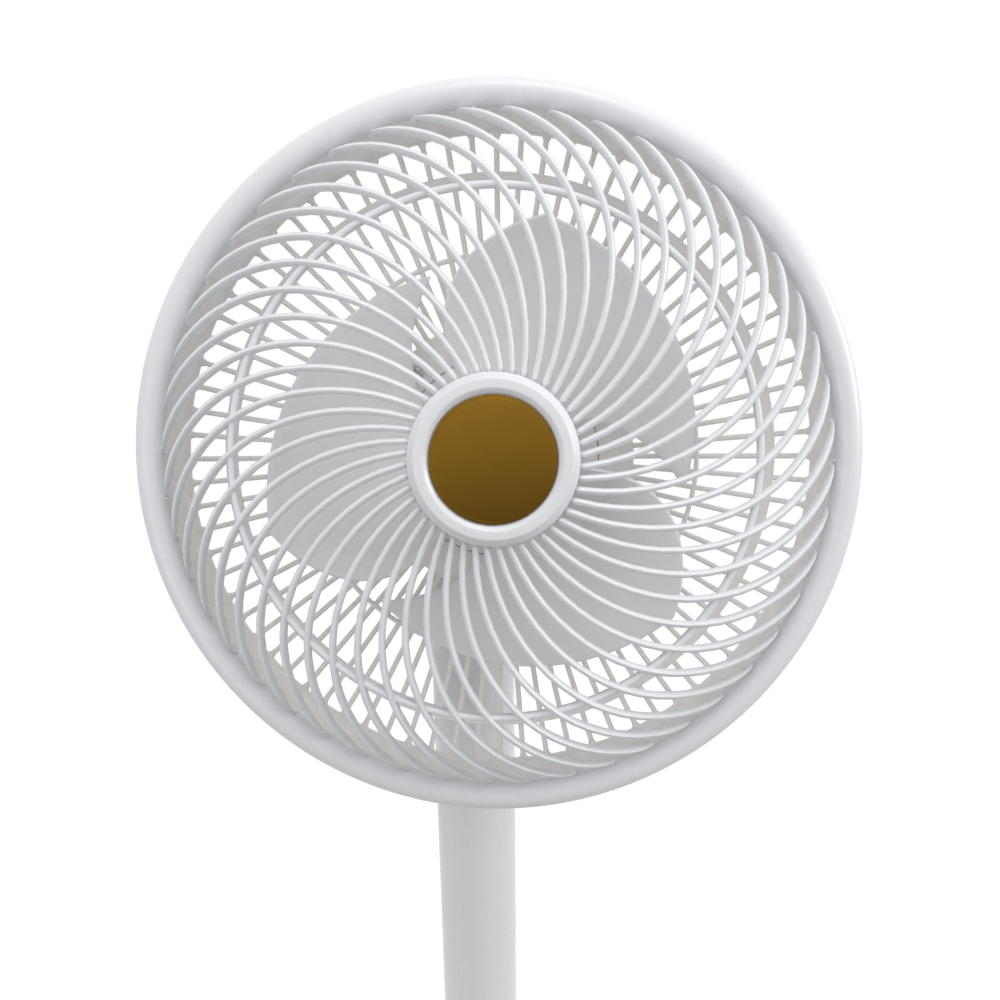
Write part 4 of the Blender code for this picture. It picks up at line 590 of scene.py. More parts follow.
def spun_gold(name, colour, roughness):
    """Satin gold lacquer over a spun disc: fine rings round its middle, a faint speckle, and painted shade
    that darkens it from top to foot.
    """
    coat, tree, shader, space = new_finish(name)
    ring_depth = 0.0008 * MM
    speckle_depth = 0.002 * MM
    centred = tree.nodes.new("ShaderNodeMapping")
    centred.vector_type = "TEXTURE"
    centred.inputs["Location"].default_value = HEAD.translation
    centred.inputs["Rotation"].default_value = HEAD.to_euler()
    tree.links.new(space, centred.inputs["Vector"])
    rings = tree.nodes.new("ShaderNodeTexWave")
    rings.wave_type = "RINGS"
    rings.rings_direction = "Z"
    rings.inputs["Scale"].default_value = 900
    rings.inputs["Distortion"].default_value = 1.5
    rings.inputs["Detail"].default_value = 2
    tree.links.new(centred.outputs["Vector"], rings.inputs["Vector"])
    speckle = cloud(tree, space, 2600, 2)
    drifting_tone(tree, speckle, colour, 0.1, shader)
    # painted shade: the gold is lightened at the disc's top and darkened towards its foot
    painted_shade_down(tree, centred.outputs["Vector"], 0.42, 1.12, shader)
    patchy_gloss(tree, cloud(tree, space, 120, 2), roughness - 0.04, roughness + 0.05, shader)
    spun = relief(tree, rings.outputs["Fac"], ring_depth, shader)
    relief(tree, speckle, speckle_depth, shader, spun)
    shader.inputs["Metallic"].default_value = 1.0
    return coat


coats = {
    "white_gloss": moulded_plastic("Guard white", (0.80, 0.81, 0.835), 0.28),
    "white_satin": moulded_plastic("Cage white", (0.94, 0.93, 0.90), 0.44),
    "blade_plastic": moulded_plastic("Blade white", (0.90, 0.905, 0.91), 0.4),
    "badge_gold": spun_gold("Hub gold", (0.202, 0.108, 0.014), 0.42),
    "steel": worked_metal("Zinc-plated steel", (0.56, 0.56, 0.57), 0.34),
    "dark_plastic": moulded_plastic("Charcoal plastic", (0.035, 0.036, 0.038), 0.46, 0.008 * MM, 0.12),
    "rubber": moulded_plastic("Foot rubber", (0.024, 0.023, 0.022), 0.7, 0.02 * MM, 0.2),
    "copper": worked_metal("Winding copper", (0.62, 0.25, 0.11), 0.3),
    "circuit_board": moulded_plastic("Board green", (0.02, 0.11, 0.045), 0.36, 0.004 * MM, 0.15),
    "cast_iron": worked_metal("Cast iron", (0.11, 0.105, 0.1), 0.62, 0.05 * MM, 0.2),
}


# --- Front guard ----------------------------------------------------


def rise(value, start, length):
    """0 up to the start, 1 from a length beyond it, and a smooth rise between."""
    share = min(max((value - start) / length, 0.0), 1.0)
    return share * share * (3 - 2 * share)


def ridge_height(radius):
    """Height of a rib's ridge: a dome that falls away at the rim, and a small nose at the cap."""
    dome = DOME_FOOT + DOME_RISE * sqrt(max(0.0, 1 - (radius / RIB_END) ** DOME_POWER))
    return dome - NOSE_DROP * (1 - rise(radius, NOSE_START, NOSE_LENGTH))


def rib_angle(radius):
    """How far a rib has swept round by this radius: evenly at first, then hooked towards its tip."""
    share = (radius - CAP_RADIUS) / (DRUM_RADIUS - CAP_RADIUS)
    outward = max(share, 0.0)
    hook = RIB_HOOK_DEG * outward**RIB_HOOK_POWER + RIB_TIP_DEG * outward**RIB_TIP_POWER
    return radians(RIB_START_DEG + RIB_SWEEP_DEG * share + hook)


def rib_radii():
    """Where a rib's loops lie, close together at its nose and where the dome falls away."""
    shares = [sin((loop + 1) / RIB_LOOPS * pi / 2) ** 0.95 for loop in range(RIB_LOOPS)]
    return [*RIB_ROOT, *(RIB_ROOT[-1] + (RIB_END - RIB_ROOT[-1]) * share for share in shares)]


def swirl_ribs():
    """One rib, extruded straight, then bent loop by loop to the dome and the swirl, and repeated round."""
    radii = rib_radii()
    middle = (radii[0], 0, -RIB_DEPTH / 2)
    rib = bar_end("swirl_ribs", RIB_SIDES, RIB_WIDTH / 2, middle)
    stretch(1, 1, RIB_DEPTH / RIB_WIDTH, middle)
    for here, after in zip(radii, radii[1:]):
        extend(after - here)
    path = [polar(radius, rib_angle(radius), ridge_height(radius)) for radius in radii]
    for number, (radius, loop) in enumerate(zip(radii, loops_at(rib, radii))):
        angle = rib_angle(radius)
        along = path[min(number + 1, len(path) - 1)] - path[max(number - 1, 0)]
        along.rotate(Matrix.Rotation(-angle, 3, "Z"))
        ridge = (radius, 0, 0)
        choose(rib, loop)
        taper = 1 - TAPER_SHARE * rise(radius, TAPER_START, TAPER_LENGTH)
        swell = rise(radius, SWELL_START, SWELL_LENGTH)
        stretch(1, taper * (1 + SWELL_WIDER * swell), taper * (1 + SWELL_DEEPER * swell), ridge)
        turn(-atan2(along.z, hypot(along.x, along.y)), "Y", ridge)
        turn(atan2(along.y, along.x), "Z", ridge)
        move(z=ridge_height(radius))
        turn(angle, "Z", (0, 0, 0))
    close_up(rib)
    return repeat_round(rib, RIBS)


def front_rim():
    """The hollow rim: round in front, with a skirt outside and a thick inner lip that holds the ribs."""
    round_off = (HEAD_RADIUS - DRUM_RADIUS) / 2 * 0.999  # just under half, so that the two arcs don't meet
    corners = [
        (HEAD_RADIUS - RIM_WALL, -RIM_SKIRT, 0.6 * MM),
        (HEAD_RADIUS, -RIM_SKIRT, 1.2 * MM),
        (HEAD_RADIUS, RIM_FRONT, round_off),
        (DRUM_RADIUS, RIM_FRONT, round_off),
        (DRUM_RADIUS, RIM_SEAM, 0.5 * MM),
        (DRUM_RADIUS + RIM_LIP, RIM_SEAM, 0.4 * MM),
        (DRUM_RADIUS + RIM_LIP, 7.6 * MM, 1.5 * MM),
        (HEAD_RADIUS - RIM_WALL, RIM_FRONT - RIM_WALL, 3.0 * MM),
    ]
    return turned("front_rim", corners, 240, 12)


def stiffening_ring():
    """The ring two thirds of the way out that ties the ribs together under their ridges."""
    inner = STIFF_RING_RADIUS - STIFF_RING_WIDTH / 2
    outer = STIFF_RING_RADIUS + STIFF_RING_WIDTH / 2
    front = ridge_height(STIFF_RING_RADIUS) - STIFF_RING_SINK
    back = front - STIFF_RING_DEPTH
    round_off = STIFF_RING_WIDTH * 0.46
    corners = [
        (inner, back, 0.6 * MM),
        (outer, back, 0.6 * MM),
        (outer, front, round_off),
        (inner, front, round_off),
    ]
    return turned("stiffening_ring", corners, 240)


def hub_cap():
    """The bezel round the disc: a chamfered outer edge, a rounded land and a recess."""
    bore = CAP_RADIUS - CAP_WALL
    floor = CAP_FRONT - DISC_RECESS
    corners = [
        (bore, CAP_FRONT - CAP_DEPTH, 0.6 * MM),
        (CAP_RADIUS, CAP_FRONT - CAP_DEPTH, 0.8 * MM),
        (CAP_RADIUS, CAP_FRONT - 3.5 * MM, 0.5 * MM),
        (CAP_RADIUS - 3.0 * MM, CAP_FRONT - 0.2 * MM, 0.6 * MM),
        (DISC_RADIUS + 2.6 * MM, CAP_FRONT, 1.2 * MM),
        (DISC_RADIUS + 0.3 * MM, floor + 0.6 * MM, 0.4 * MM),
        (DISC_RADIUS + 0.3 * MM, floor, 0.1 * MM),
        (0, floor),
        (0, floor - CAP_WALL),
        (bore, floor - CAP_WALL, 1.0 * MM),
    ]
    return turned("hub_cap", corners, 192)


def gate_nubs():
    """Four little marks at the rim where the plastic was let into the mould."""
    place = (151.4 * MM, 0, 8.6 * MM)
    nubs = []
    for degrees_round in NUB_DEGREES:
        let_go()
        bpy.ops.mesh.primitive_uv_sphere_add(segments=12, ring_count=8, radius=0.7 * MM, location=place)
        nub = open_up(newly_made("gate_nub"))
        stretch(1.2, 0.8, 1.3, place)
        turn(radians(degrees_round), "Z", (0, 0, 0))
        nubs.append(close_up(nub))
    return nubs


def front_guard():
    guard = join([front_rim(), swirl_ribs(), stiffening_ring(), hub_cap()] + gate_nubs())
    guard.name = "front_guard_fine"
    return fitted(guard, HEAD)


def hub_disc():
    """The gold disc, with a low raised edge inside a fine ring line."""
    floor = CAP_FRONT - DISC_RECESS + 0.3 * MM
    face = floor + DISC_THICK
    corners = [
        (0, floor),
        (DISC_RADIUS, floor, 0.2 * MM),
        (DISC_RADIUS, face, 0.3 * MM),
        (DISC_RADIUS - 1.0 * MM, face + 0.05 * MM, 0.1 * MM),
        (DISC_RADIUS - 1.3 * MM, face - 0.15 * MM, 0.1 * MM),
        (DISC_RADIUS - 1.6 * MM, face, 0.1 * MM),
        (0, face + 0.15 * MM),
    ]
    return fitted(turned("hub_disc_fine", corners, 192, 3), HEAD)


# --- Rear guard -----------------------------------------------------


def cone_height(radius):
    """Height of the rear guard's front face, a shallow cone that falls towards the middle."""
    return -DRUM_DEPTH - CONE_FALL * (DRUM_RADIUS - radius) / (DRUM_RADIUS - PLATE_RADIUS)


def spokes():
    """One straight spoke with webs where it meets the wall, repeated round."""
    widths = [
        (PLATE_RADIUS - 1.0 * MM, 1.5),
        (PLATE_RADIUS + 1.0 * MM, 1.0),
        (THIN_RING_RADIUS, 1.0),
        (BAND_RADIUS, 1.0),
        (148.6 * MM, 1.0),
        (150.0 * MM, 1.5),
        (151.2 * MM, 2.3),
    ]
    radii = [radius for radius, wide in widths]
    sides = 8
    start = (radii[0], 0, 0)
    spoke = bar_end("spokes", sides, SPOKE_WIDTH / 2 / cos(pi / sides), start)
    turn(pi / sides, "X", start)
    stretch(1, 1, SPOKE_DEPTH / SPOKE_WIDTH, start)
    for here, after in zip(radii, radii[1:]):
        extend(after - here)
    for loop, (radius, wide) in zip(loops_at(spoke, radii), widths):
        choose(spoke, loop)
        stretch(1, wide, 1, (radius, 0, 0))
        move(z=cone_height(radius) - SPOKE_DEPTH / 2)
    close_up(spoke)
    return repeat_round(spoke, SPOKES)


def flat_ring(name, middle, width, round_off):
    """A ring lying in the cone of the spokes, a little proud of them in front."""
    inner = middle - width / 2
    outer = middle + width / 2
    proud = 0.2 * MM
    corners = [
        (inner, cone_height(inner) - SPOKE_DEPTH, round_off),
        (outer, cone_height(outer) - SPOKE_DEPTH, round_off),
        (outer, cone_height(outer) + proud, round_off),
        (inner, cone_height(inner) + proud, round_off),
    ]
    return turned(name, corners, 240, 3)


def rear_guard():
    """The drum wall with its flange, three rings and the spokes."""
    wall = DRUM_RADIUS + DRUM_WALL
    flange = HEAD_RADIUS - RIM_WALL - 0.6 * MM
    ledge = DRUM_RADIUS - 1.1 * MM
    back = -DRUM_DEPTH - SPOKE_DEPTH
    corners = [
        (DRUM_RADIUS, RIM_SEAM - 0.3 * MM, 0.3 * MM),
        (wall, RIM_SEAM - 0.3 * MM, 0.3 * MM),
        (wall, -DRUM_FLANGE_BACK + DRUM_FLANGE, 0.5 * MM),
        (flange, -DRUM_FLANGE_BACK + DRUM_FLANGE, 0.6 * MM),
        (flange, -DRUM_FLANGE_BACK, 0.6 * MM),
        (wall, -DRUM_FLANGE_BACK, 1.2 * MM),
        (wall, -DRUM_DEPTH - 0.4 * MM, 2.2 * MM),
        (ledge, back, 0.6 * MM),
        (ledge, -DRUM_DEPTH, 0.5 * MM),
        (DRUM_RADIUS, -DRUM_DEPTH + 1.0 * MM, 0.8 * MM),
    ]
    drum = turned("drum_wall", corners, 240, 4)
    thin = flat_ring("thin_ring", THIN_RING_RADIUS, THIN_RING_WIDTH, 0.4 * MM)
    band = flat_ring("band", BAND_RADIUS, BAND_WIDTH, 0.6 * MM)
    plate = tube(
        "middle_plate", PLATE_BORE, PLATE_RADIUS, PLATE_FRONT, PLATE_BACK, 0.5 * MM, 0.7 * MM, 192, 3
    )
    guard = join([drum, spokes(), band, thin, plate])
    guard.name = "rear_guard_fine"
    return fitted(guard, HEAD)


# --- Impeller -------------------------------------------------------


def blade_place(across, out):
    """A point of a blade's middle surface, across from its leading edge and out from its root, as shares."""
    root = HUB_RADIUS - HUB_WALL / 2
    tip = (91.0 + 17.0 * across) * MM
    lead = BLADE_PEAK - radians(88.0 - 42.0 * (1 - out))
    trail = BLADE_PEAK + radians(36.0 * (1 - out**2.5))
    pitch = (50.0 - 12.0 * out) * MM
    height = -6.0 * MM + pitch * (across - 0.5) - 4.0 * MM * 4 * across * (1 - across)
    radius = root + (tip - root) * out
    angle = lead + (trail - lead) * across
    return Vector((radius * cos(angle), radius * sin(angle), height))


def blades():
    """One blade, laid out as a grid, bent to its twist, thickened and rounded, then repeated."""
    let_go()
    bpy.ops.mesh.primitive_grid_add(x_subdivisions=30, y_subdivisions=22, size=1, location=(0.5, 0.5, 0))
    blade = newly_made("blades")
    for corner in blade.data.vertices:
        corner.co = blade_place(corner.co.x, corner.co.y)
    wall = blade.modifiers.new("Thickness", "SOLIDIFY")
    wall.thickness = BLADE_THICK
    wall.offset = 0
    wall.use_even_offset = True
    apply_all(blade)
    soften(blade, 0.9 * MM, 3, 60)
    open_up(blade)
    close_up(blade)
    return repeat_round(blade, BLADES)


def impeller():
    """The impeller's cup-shaped hub, its boss with the drive slot, and the blades."""
    bore = SHAFT_RADIUS + 0.15 * MM
    inside = HUB_RADIUS - HUB_WALL
    boss = 9.0 * MM
    boss_rear = -16.0 * MM
    corners = [
        (bore, boss_rear, 0.3 * MM),
        (boss, boss_rear, 0.6 * MM),
        (boss, HUB_FRONT - HUB_WALL, 1.0 * MM),
        (inside, HUB_FRONT - HUB_WALL, 2.0 * MM),
        (inside, HUB_REAR, 0.5 * MM),
        (HUB_RADIUS, HUB_REAR, 0.7 * MM),
        (HUB_RADIUS, HUB_FRONT, 4.0 * MM),
        (bore, HUB_FRONT, 0.5 * MM),
    ]
    hub = turned("impeller_hub", corners, 128)
    long, half = 10.2 * MM, 1.45 * MM
    slot = slab("slot", (-long, -half, boss_rear - MM), (long, half, boss_rear + 5.0 * MM))
    whole = join([carve(hub, [slot]), blades()])
    whole.name = "impeller_fine"
    return fitted(whole, HEAD, 50)


def grip_nut():
    """The nut in front of the impeller, with eight grips to turn it by."""
    grips = 8
    low = HUB_FRONT + 0.3 * MM
    grip_corners = [(9.9 * MM, 0.0, 1.2 * MM), (11.5 * MM, 0.3, 0.7 * MM), (11.5 * MM, 0.7, 0.7 * MM)]
    corners = []
    for grip in range(grips):
        for radius, offset, ease in grip_corners:
            corner = polar(radius, (grip + offset) * 2 * pi / grips)
            corners.append((corner.x, corner.y, ease))
    nut = pressed("grip_nut_fine", corners, low, low + 10.0 * MM, 3)
    return fitted(soften(nut, 0.7 * MM, 3, 60), HEAD)


# --- Motor ----------------------------------------------------------


def motor_front_cover():
    """The cap in front of the motor: a spigot in the rear guard, and a skirt and a bearing pocket behind."""
    spigot = PLATE_BORE - 0.3 * MM
    corners = [
        (5.2 * MM, PLATE_FRONT, 0.4 * MM),
        (spigot, PLATE_FRONT, 0.8 * MM),
        (spigot, COVER_FRONT),
        (MOTOR_FLANGE_RADIUS, COVER_FRONT, 0.6 * MM),
        (MOTOR_FLANGE_RADIUS, COVER_BACK, 0.6 * MM),
        (43.2 * MM, COVER_BACK, 0.5 * MM),
        (43.2 * MM, -77.5 * MM, 0.4 * MM),
        (40.6 * MM, -77.5 * MM, 0.4 * MM),
        (40.6 * MM, -65.2 * MM),
        (37.0 * MM, -65.2 * MM, 0.4 * MM),
        (37.0 * MM, COVER_BACK, 0.5 * MM),
        (BEARING_HOUSING, COVER_BACK, 0.5 * MM),
        (BEARING_HOUSING, -57.5 * MM, 0.3 * MM),
        (BEARING_SEAT, -57.5 * MM, 0.3 * MM),
        (BEARING_SEAT, -50.2 * MM),
        (5.2 * MM, -50.2 * MM, 0.3 * MM),
    ]
    return fitted(turned("motor_front_cover_fine", corners, 128, 3), HEAD)


def motor_rear_cover():
    """The motor's cup, with round-ended vents in its back and a shallow step round it."""
    bore = MOTOR_RADIUS - MOTOR_WALL
    floor = MOTOR_BACK + MOTOR_WALL
    step = MOTOR_RADIUS - 0.5 * MM
    corners = [
        (0, MOTOR_BACK + 0.6 * MM),
        (15.0 * MM, MOTOR_BACK + 0.6 * MM, 1.0 * MM),
        (16.0 * MM, MOTOR_BACK, 1.0 * MM),
        (step, MOTOR_BACK, 6.0 * MM),
        (step, MOTOR_BACK + 14.0 * MM, 0.3 * MM),
        (MOTOR_RADIUS, MOTOR_BACK + 14.5 * MM, 0.3 * MM),
        (MOTOR_RADIUS, MOTOR_FRONT - MOTOR_FLANGE_THICK, 2.0 * MM),
        (MOTOR_FLANGE_RADIUS, MOTOR_FRONT - MOTOR_FLANGE_THICK, 0.8 * MM),
        (MOTOR_FLANGE_RADIUS, MOTOR_FRONT, 0.6 * MM),
        (bore, MOTOR_FRONT, 0.5 * MM),
        (bore, floor, 3.0 * MM),
        (BEARING_HOUSING, floor, 0.5 * MM),
        (BEARING_HOUSING, floor + 7.0 * MM, 0.4 * MM),
        (BEARING_SEAT, floor + 7.0 * MM, 0.4 * MM),
        (BEARING_SEAT, floor),
        (0, floor),
    ]
    cup = turned("motor_rear_cover_fine", corners, 144, 4)
    near, far, half = 20.1 * MM, 36.2 * MM, 1.5 * MM
    vent = [(x, y, half * 0.99) for x, y in ((near, -half), (far, -half), (far, half), (near, half))]
    cutter = pressed("vent", vent, MOTOR_BACK - MM, floor + MM, 6)
    open_up(cutter)
    turn(radians(15), "Z", (0, 0, 0))
    bpy.ops.object.mode_set(mode="OBJECT")
    carve(cup, [repeat_round(cutter, 12)])
    return fitted(soften(cup, 0.25 * MM, 1, 60), HEAD)


# --- Screws ---------------------------------------------------------


def screw():
    """A pan-head screw with a cross recess, its head on the bench and its shank below."""
    corners = [
        (0, -7.9 * MM),
        (1.9 * MM, -7.9 * MM, 0.5 * MM),
        (1.9 * MM, 0),
        (3.8 * MM, 0, 0.15 * MM),
        (3.8 * MM, 1.0 * MM, 0.6 * MM),
        (2.4 * MM, 2.0 * MM, 0.8 * MM),
        (0, 2.0 * MM),
    ]
    made = turned("screw", corners, 32, 3)
    long, half = 2.1 * MM, 0.42 * MM
    across = slab("across", (-long, -half, 0.9 * MM), (long, half, 3.0 * MM))
    along = slab("along", (-half, -long, 0.9 * MM), (half, long, 3.0 * MM))
    return smooth(carve(made, [across, along]), 30)


def screws():
    """All the screws, copies of one."""
    places = []
    for number in range(4):
        spot = polar(GUARD_SCREW_CIRCLE, radians(45 + 90 * number), PLATE_FRONT + SCREW_HEAD_ROOM)
        twist = Matrix.Rotation(radians(23 + 71 * number), 4, "Z")
        places.append((HEAD @ Matrix.Translation(spot) @ twist, "head", f"guard_screw_{number + 1}"))
    lock = Matrix.Translation((0, -LOCK_SCREW_DROP, LOCK_SCREW_SEAT)) @ UPSIDE_DOWN @ Matrix.Scale(0.8, 4)
    places.append((HEAD @ lock, "head", "guard_lock_screw"))
    for number, lean in enumerate((-1, 1), 1):
        height = BRACKET_MIDDLE + lean * BRACKET_SCREW_SPREAD
        spot = Matrix.Translation((BRACKET_SCREW_ASIDE, -BRACKET_SCREW_SEAT, height))
        places.append((HEAD @ spot @ Matrix.Rotation(pi / 2, 4, "X"), "head", f"bracket_screw_{number}"))
    for number in range(3):
        spot = polar(BASE_SCREW_CIRCLE, radians(30 + 120 * number), 3.3 * MM)
        places.append((STAND @ Matrix.Translation(spot) @ UPSIDE_DOWN, "stand", f"base_screw_{number + 1}"))
    return copies(screw(), places)


# --- Neck and tilt hinge --------------------------------------------


def neck():
    """A round neck whose top is cut to a fork with rounded ears."""
    wide = POLE_RADIUS + 2.0 * MM
    crown = TILT_HEIGHT + EAR_RADIUS
    ear = EAR_RADIUS * 0.99
    hinge = Matrix.Translation((0, 0, TILT_HEIGHT)) @ ALONG_X
    body = rod("neck_fine", POLE_RADIUS, NECK_FOOT, crown, 160)
    side = [
        (-wide, NECK_FOOT - wide),
        (wide, NECK_FOOT - wide),
        (wide, FLARE - 1.0 * MM, 9.0 * MM),
        (EAR_RADIUS, TILT_HEIGHT - 6.0 * MM, 12.0 * MM),
        (EAR_RADIUS, crown, ear),
        (-EAR_RADIUS, crown, ear),
        (-EAR_RADIUS, TILT_HEIGHT - 6.0 * MM, 12.0 * MM),
        (-wide, FLARE - 1.0 * MM, 9.0 * MM),
    ]
    profile = set_down(pressed("side_profile", side, -wide, wide, 12), FACING_X)
    carve(body, [profile], "INTERSECT")
    bore = rod("bore", POLE_RADIUS - NECK_WALL, NECK_FOOT - wide, FORK_FLOOR - 3.5 * MM, 96)
    fork = slab("fork", (-FORK_HALF, -wide, FORK_FLOOR), (FORK_HALF, wide, crown + wide))
    pin = set_down(rod("pin_hole", HINGE_BORE, -wide, wide, 48), hinge)
    seats = [
        set_down(rod("seat", 7.6 * MM, low, high, 64), hinge)
        for low, high in ((-wide, -19.0 * MM), (19.0 * MM, wide))
    ]
    carve(body, [bore, fork, pin] + seats)
    return fitted(soften(body, 0.7 * MM, 3, 40), STAND)


def tilt_bracket():
    """The saddle under the motor, with its one knuckle."""
    seat = MOTOR_RADIUS + 0.3 * MM
    outside = seat + 3.0 * MM
    back, front = -107 * MM, -61 * MM
    shell = [(seat, back), (outside, back), (outside, front), (seat, front)]
    saddle = turned("tilt_bracket_fine", shell, 160)
    part = slab("part", (-30.4 * MM, -110 * MM, -108 * MM), (9.6 * MM, -26 * MM, -60 * MM))
    carve(saddle, [part], "INTERSECT")
    web = slab("web", (KNUCKLE_LEFT, KNUCKLE_HEIGHT, -99 * MM), (KNUCKLE_RIGHT, -46 * MM, -69 * MM))
    axle = Matrix.Translation((0, KNUCKLE_HEIGHT, BRACKET_MIDDLE)) @ ALONG_X
    knuckle = set_down(rod("knuckle", KNUCKLE_RADIUS, KNUCKLE_LEFT, KNUCKLE_RIGHT, 96), axle)
    carve(web, [knuckle], "UNION")
    cup = rod("cup", seat + 0.4 * MM, -110 * MM, -58 * MM, 160)
    carve(web, [cup])
    carve(saddle, [web], "UNION")
    carve(saddle, [set_down(rod("bore", HINGE_BORE, -29 * MM, -3 * MM, 48), axle)])
    return fitted(soften(saddle, 0.8 * MM, 3, 40), HEAD)


def tilt_bolt():
    """The hinge's bolt, with a chamfered head and a hexagon socket."""
    corners = [
        (0, -22.5 * MM),
        (7.0 * MM, -22.5 * MM, 0.9 * MM),
        (7.0 * MM, -19.3 * MM, 0.3 * MM),
        (4.0 * MM, -19.3 * MM, 0.3 * MM),
        (4.0 * MM, 22.2 * MM, 0.6 * MM),
        (0, 22.2 * MM),
    ]
    bolt = turned("tilt_bolt_fine", corners, 64, 4)
    carve(bolt, [rod("socket", 3.4 * MM, -25 * MM, -20.4 * MM, 6)])
    return fitted(bolt, HINGE @ ALONG_X, 30)


def tilt_washers():
    """The two friction washers between the knuckle and the ears."""
    made = []
    for side, sign in (("left", -1), ("right", 1)):
        near, far = sorted((sign * 11.3 * MM, sign * 12.3 * MM))
        node = f"tilt_washer_{side}"
        washer = tube(f"{node}_fine", HINGE_BORE, 13 * MM, near, far, 0.2 * MM, 0.3 * MM, 96, 2)
        made.append((fitted(washer, HINGE @ ALONG_X), "neck", node))
    return made


# --- Pole and base --------------------------------------------------


def pole_tube(name, low, high):
    bore = POLE_RADIUS - POLE_WALL
    return fitted(tube(name, bore, POLE_RADIUS, low, high, 0.4 * MM, 0.5 * MM, 160, 4), STAND)


def pole_coupler():
    """The sleeve that joins the two tubes, with a bead that shows as a thin line."""
    sleeve = POLE_RADIUS - POLE_WALL - 0.3 * MM
    lining = sleeve - 2.0 * MM
    bead = POLE_RADIUS - 0.1 * MM
    length, half = 40 * MM, 0.6 * MM
    corners = [
        (lining, POLE_SPLIT - length, 0.4 * MM),
        (sleeve, POLE_SPLIT - length, 0.6 * MM),
        (sleeve, POLE_SPLIT - half),
        (bead, POLE_SPLIT - half, 0.3 * MM),
        (bead, POLE_SPLIT + half, 0.3 * MM),
        (sleeve, POLE_SPLIT + half),
        (sleeve, POLE_SPLIT + length, 0.6 * MM),
        (lining, POLE_SPLIT + length, 0.4 * MM),
    ]
    return fitted(turned("pole_coupler_fine", corners, 160, 3), STAND)


def base_top(radius):
    """Height of the base's top face, which rises from the rounded edge to the socket."""
    edge = BASE_RADIUS - BASE_EDGE
    return BASE_HEIGHT + (BASE_CROWN - BASE_HEIGHT) * (edge - radius) / (edge - SOCKET_RADIUS)


def button_places(height):
    """Five places in an arc at the front of the base."""
    turns = [-pi / 2 + number * BUTTON_PITCH / BUTTON_CIRCLE for number in (-2, -1, 0, 1, 2)]
    return [polar(BUTTON_CIRCLE, angle, height) for angle in turns]


def inlet_place(depth):
    """The inlet's axis, outwards through the back of the base, from this far inside it."""
    return Matrix.Translation((0, BASE_RADIUS - depth, INLET_HEIGHT)) @ Matrix.Rotation(-pi / 2, 4, "X")


def base_cover():
    """The round base: a thin shell with a rolled edge and a socket, and holes for buttons and inlet."""
    bore = POLE_RADIUS + 0.3 * MM
    corners = [
        (BASE_RADIUS - BASE_WALL, BASE_SKIRT_FOOT, 0.5 * MM),
        (BASE_RADIUS, BASE_SKIRT_FOOT, 0.9 * MM),
        (BASE_RADIUS, BASE_HEIGHT, BASE_EDGE * 0.95),
        (SOCKET_RADIUS, BASE_CROWN, 6.0 * MM),
        (SOCKET_RADIUS, SOCKET_TOP, 1.8 * MM),
        (bore, SOCKET_TOP, 0.8 * MM),
        (bore, SOCKET_FLOOR, 0.3 * MM),
        (bore - 4.0 * MM, SOCKET_FLOOR, 0.3 * MM),
        (bore - 4.0 * MM, SOCKET_FLOOR - 3.0 * MM, 0.3 * MM),
        (SOCKET_RADIUS - BASE_WALL, SOCKET_FLOOR - 3.0 * MM, 0.3 * MM),
        (SOCKET_RADIUS - BASE_WALL, BASE_CROWN - BASE_WALL, 1.0 * MM),
        (BASE_RADIUS - BASE_WALL, BASE_HEIGHT - BASE_WALL, BASE_EDGE * 0.7),
    ]
    shell = turned("base_cover_fine", corners, 256, 10)
    cutters = [rod("button_hole", 6.8 * MM, 18 * MM, 34 * MM, 64, at.x, at.y) for at in button_places(0)]
    cutters.append(set_down(rod("inlet_hole", 4.5 * MM, -4 * MM, 4 * MM, 48), inlet_place(2 * MM)))
    carve(shell, cutters)
    return fitted(soften(shell, 0.4 * MM, 2, 50), STAND)


def buttons():
    """Five round buttons with dished tops, copies of one."""
    top = base_top(BUTTON_CIRCLE) + 1.4 * MM
    foot = 21.7 * MM
    corners = [
        (0, foot - top),
        (7.9 * MM, foot - top, 0.3 * MM),
        (7.9 * MM, foot - top + 1.4 * MM, 0.3 * MM),
        (6.5 * MM, foot - top + 1.4 * MM, 0.2 * MM),
        (6.5 * MM, 0, 0.7 * MM),
        (4.9 * MM, -0.1 * MM, 0.8 * MM),
        (0, -0.55 * MM),
    ]
    places = []
    for number, spot in enumerate(button_places(top), 1):
        places.append((STAND @ Matrix.Translation(spot), f"button_{number}_body", f"button_{number}"))
    return copies(smooth(turned("button", corners, 64)), places)


def feet():
    """Four rubber feet, copies of one."""
    corners = [
        (0, 0),
        (10 * MM, 0, 0.8 * MM),
        (10 * MM, 3.3 * MM, 0.4 * MM),
        (3 * MM, 3.3 * MM),
        (3 * MM, 5.3 * MM, 0.3 * MM),
        (0, 5.3 * MM),
    ]
    places = []
    for number in range(4):
        spot = polar(FOOT_CIRCLE, radians(45 + 90 * number))
        places.append((STAND @ Matrix.Translation(spot), "stand", f"foot_{number + 1}"))
    return copies(smooth(turned("foot", corners, 64, 4)), places)


def base_plate():
    """The plate under the base, with a pressed ring that stiffens it."""
    low, high = 3.6 * MM, 5.6 * MM
    step = 0.8 * MM
    corners = [
        (3.3 * MM, low, 0.2 * MM),
        (30 * MM, low, 0.8 * MM),
        (32 * MM, low + step, 0.8 * MM),
        (96 * MM, low + step, 0.8 * MM),
        (98 * MM, low, 0.8 * MM),
        (145.7 * MM, low, 0.6 * MM),
        (145.7 * MM, high, 0.4 * MM),
        (3.3 * MM, high, 0.2 * MM),
    ]
    return fitted(turned("base_plate_fine", corners, 192, 3), STAND)


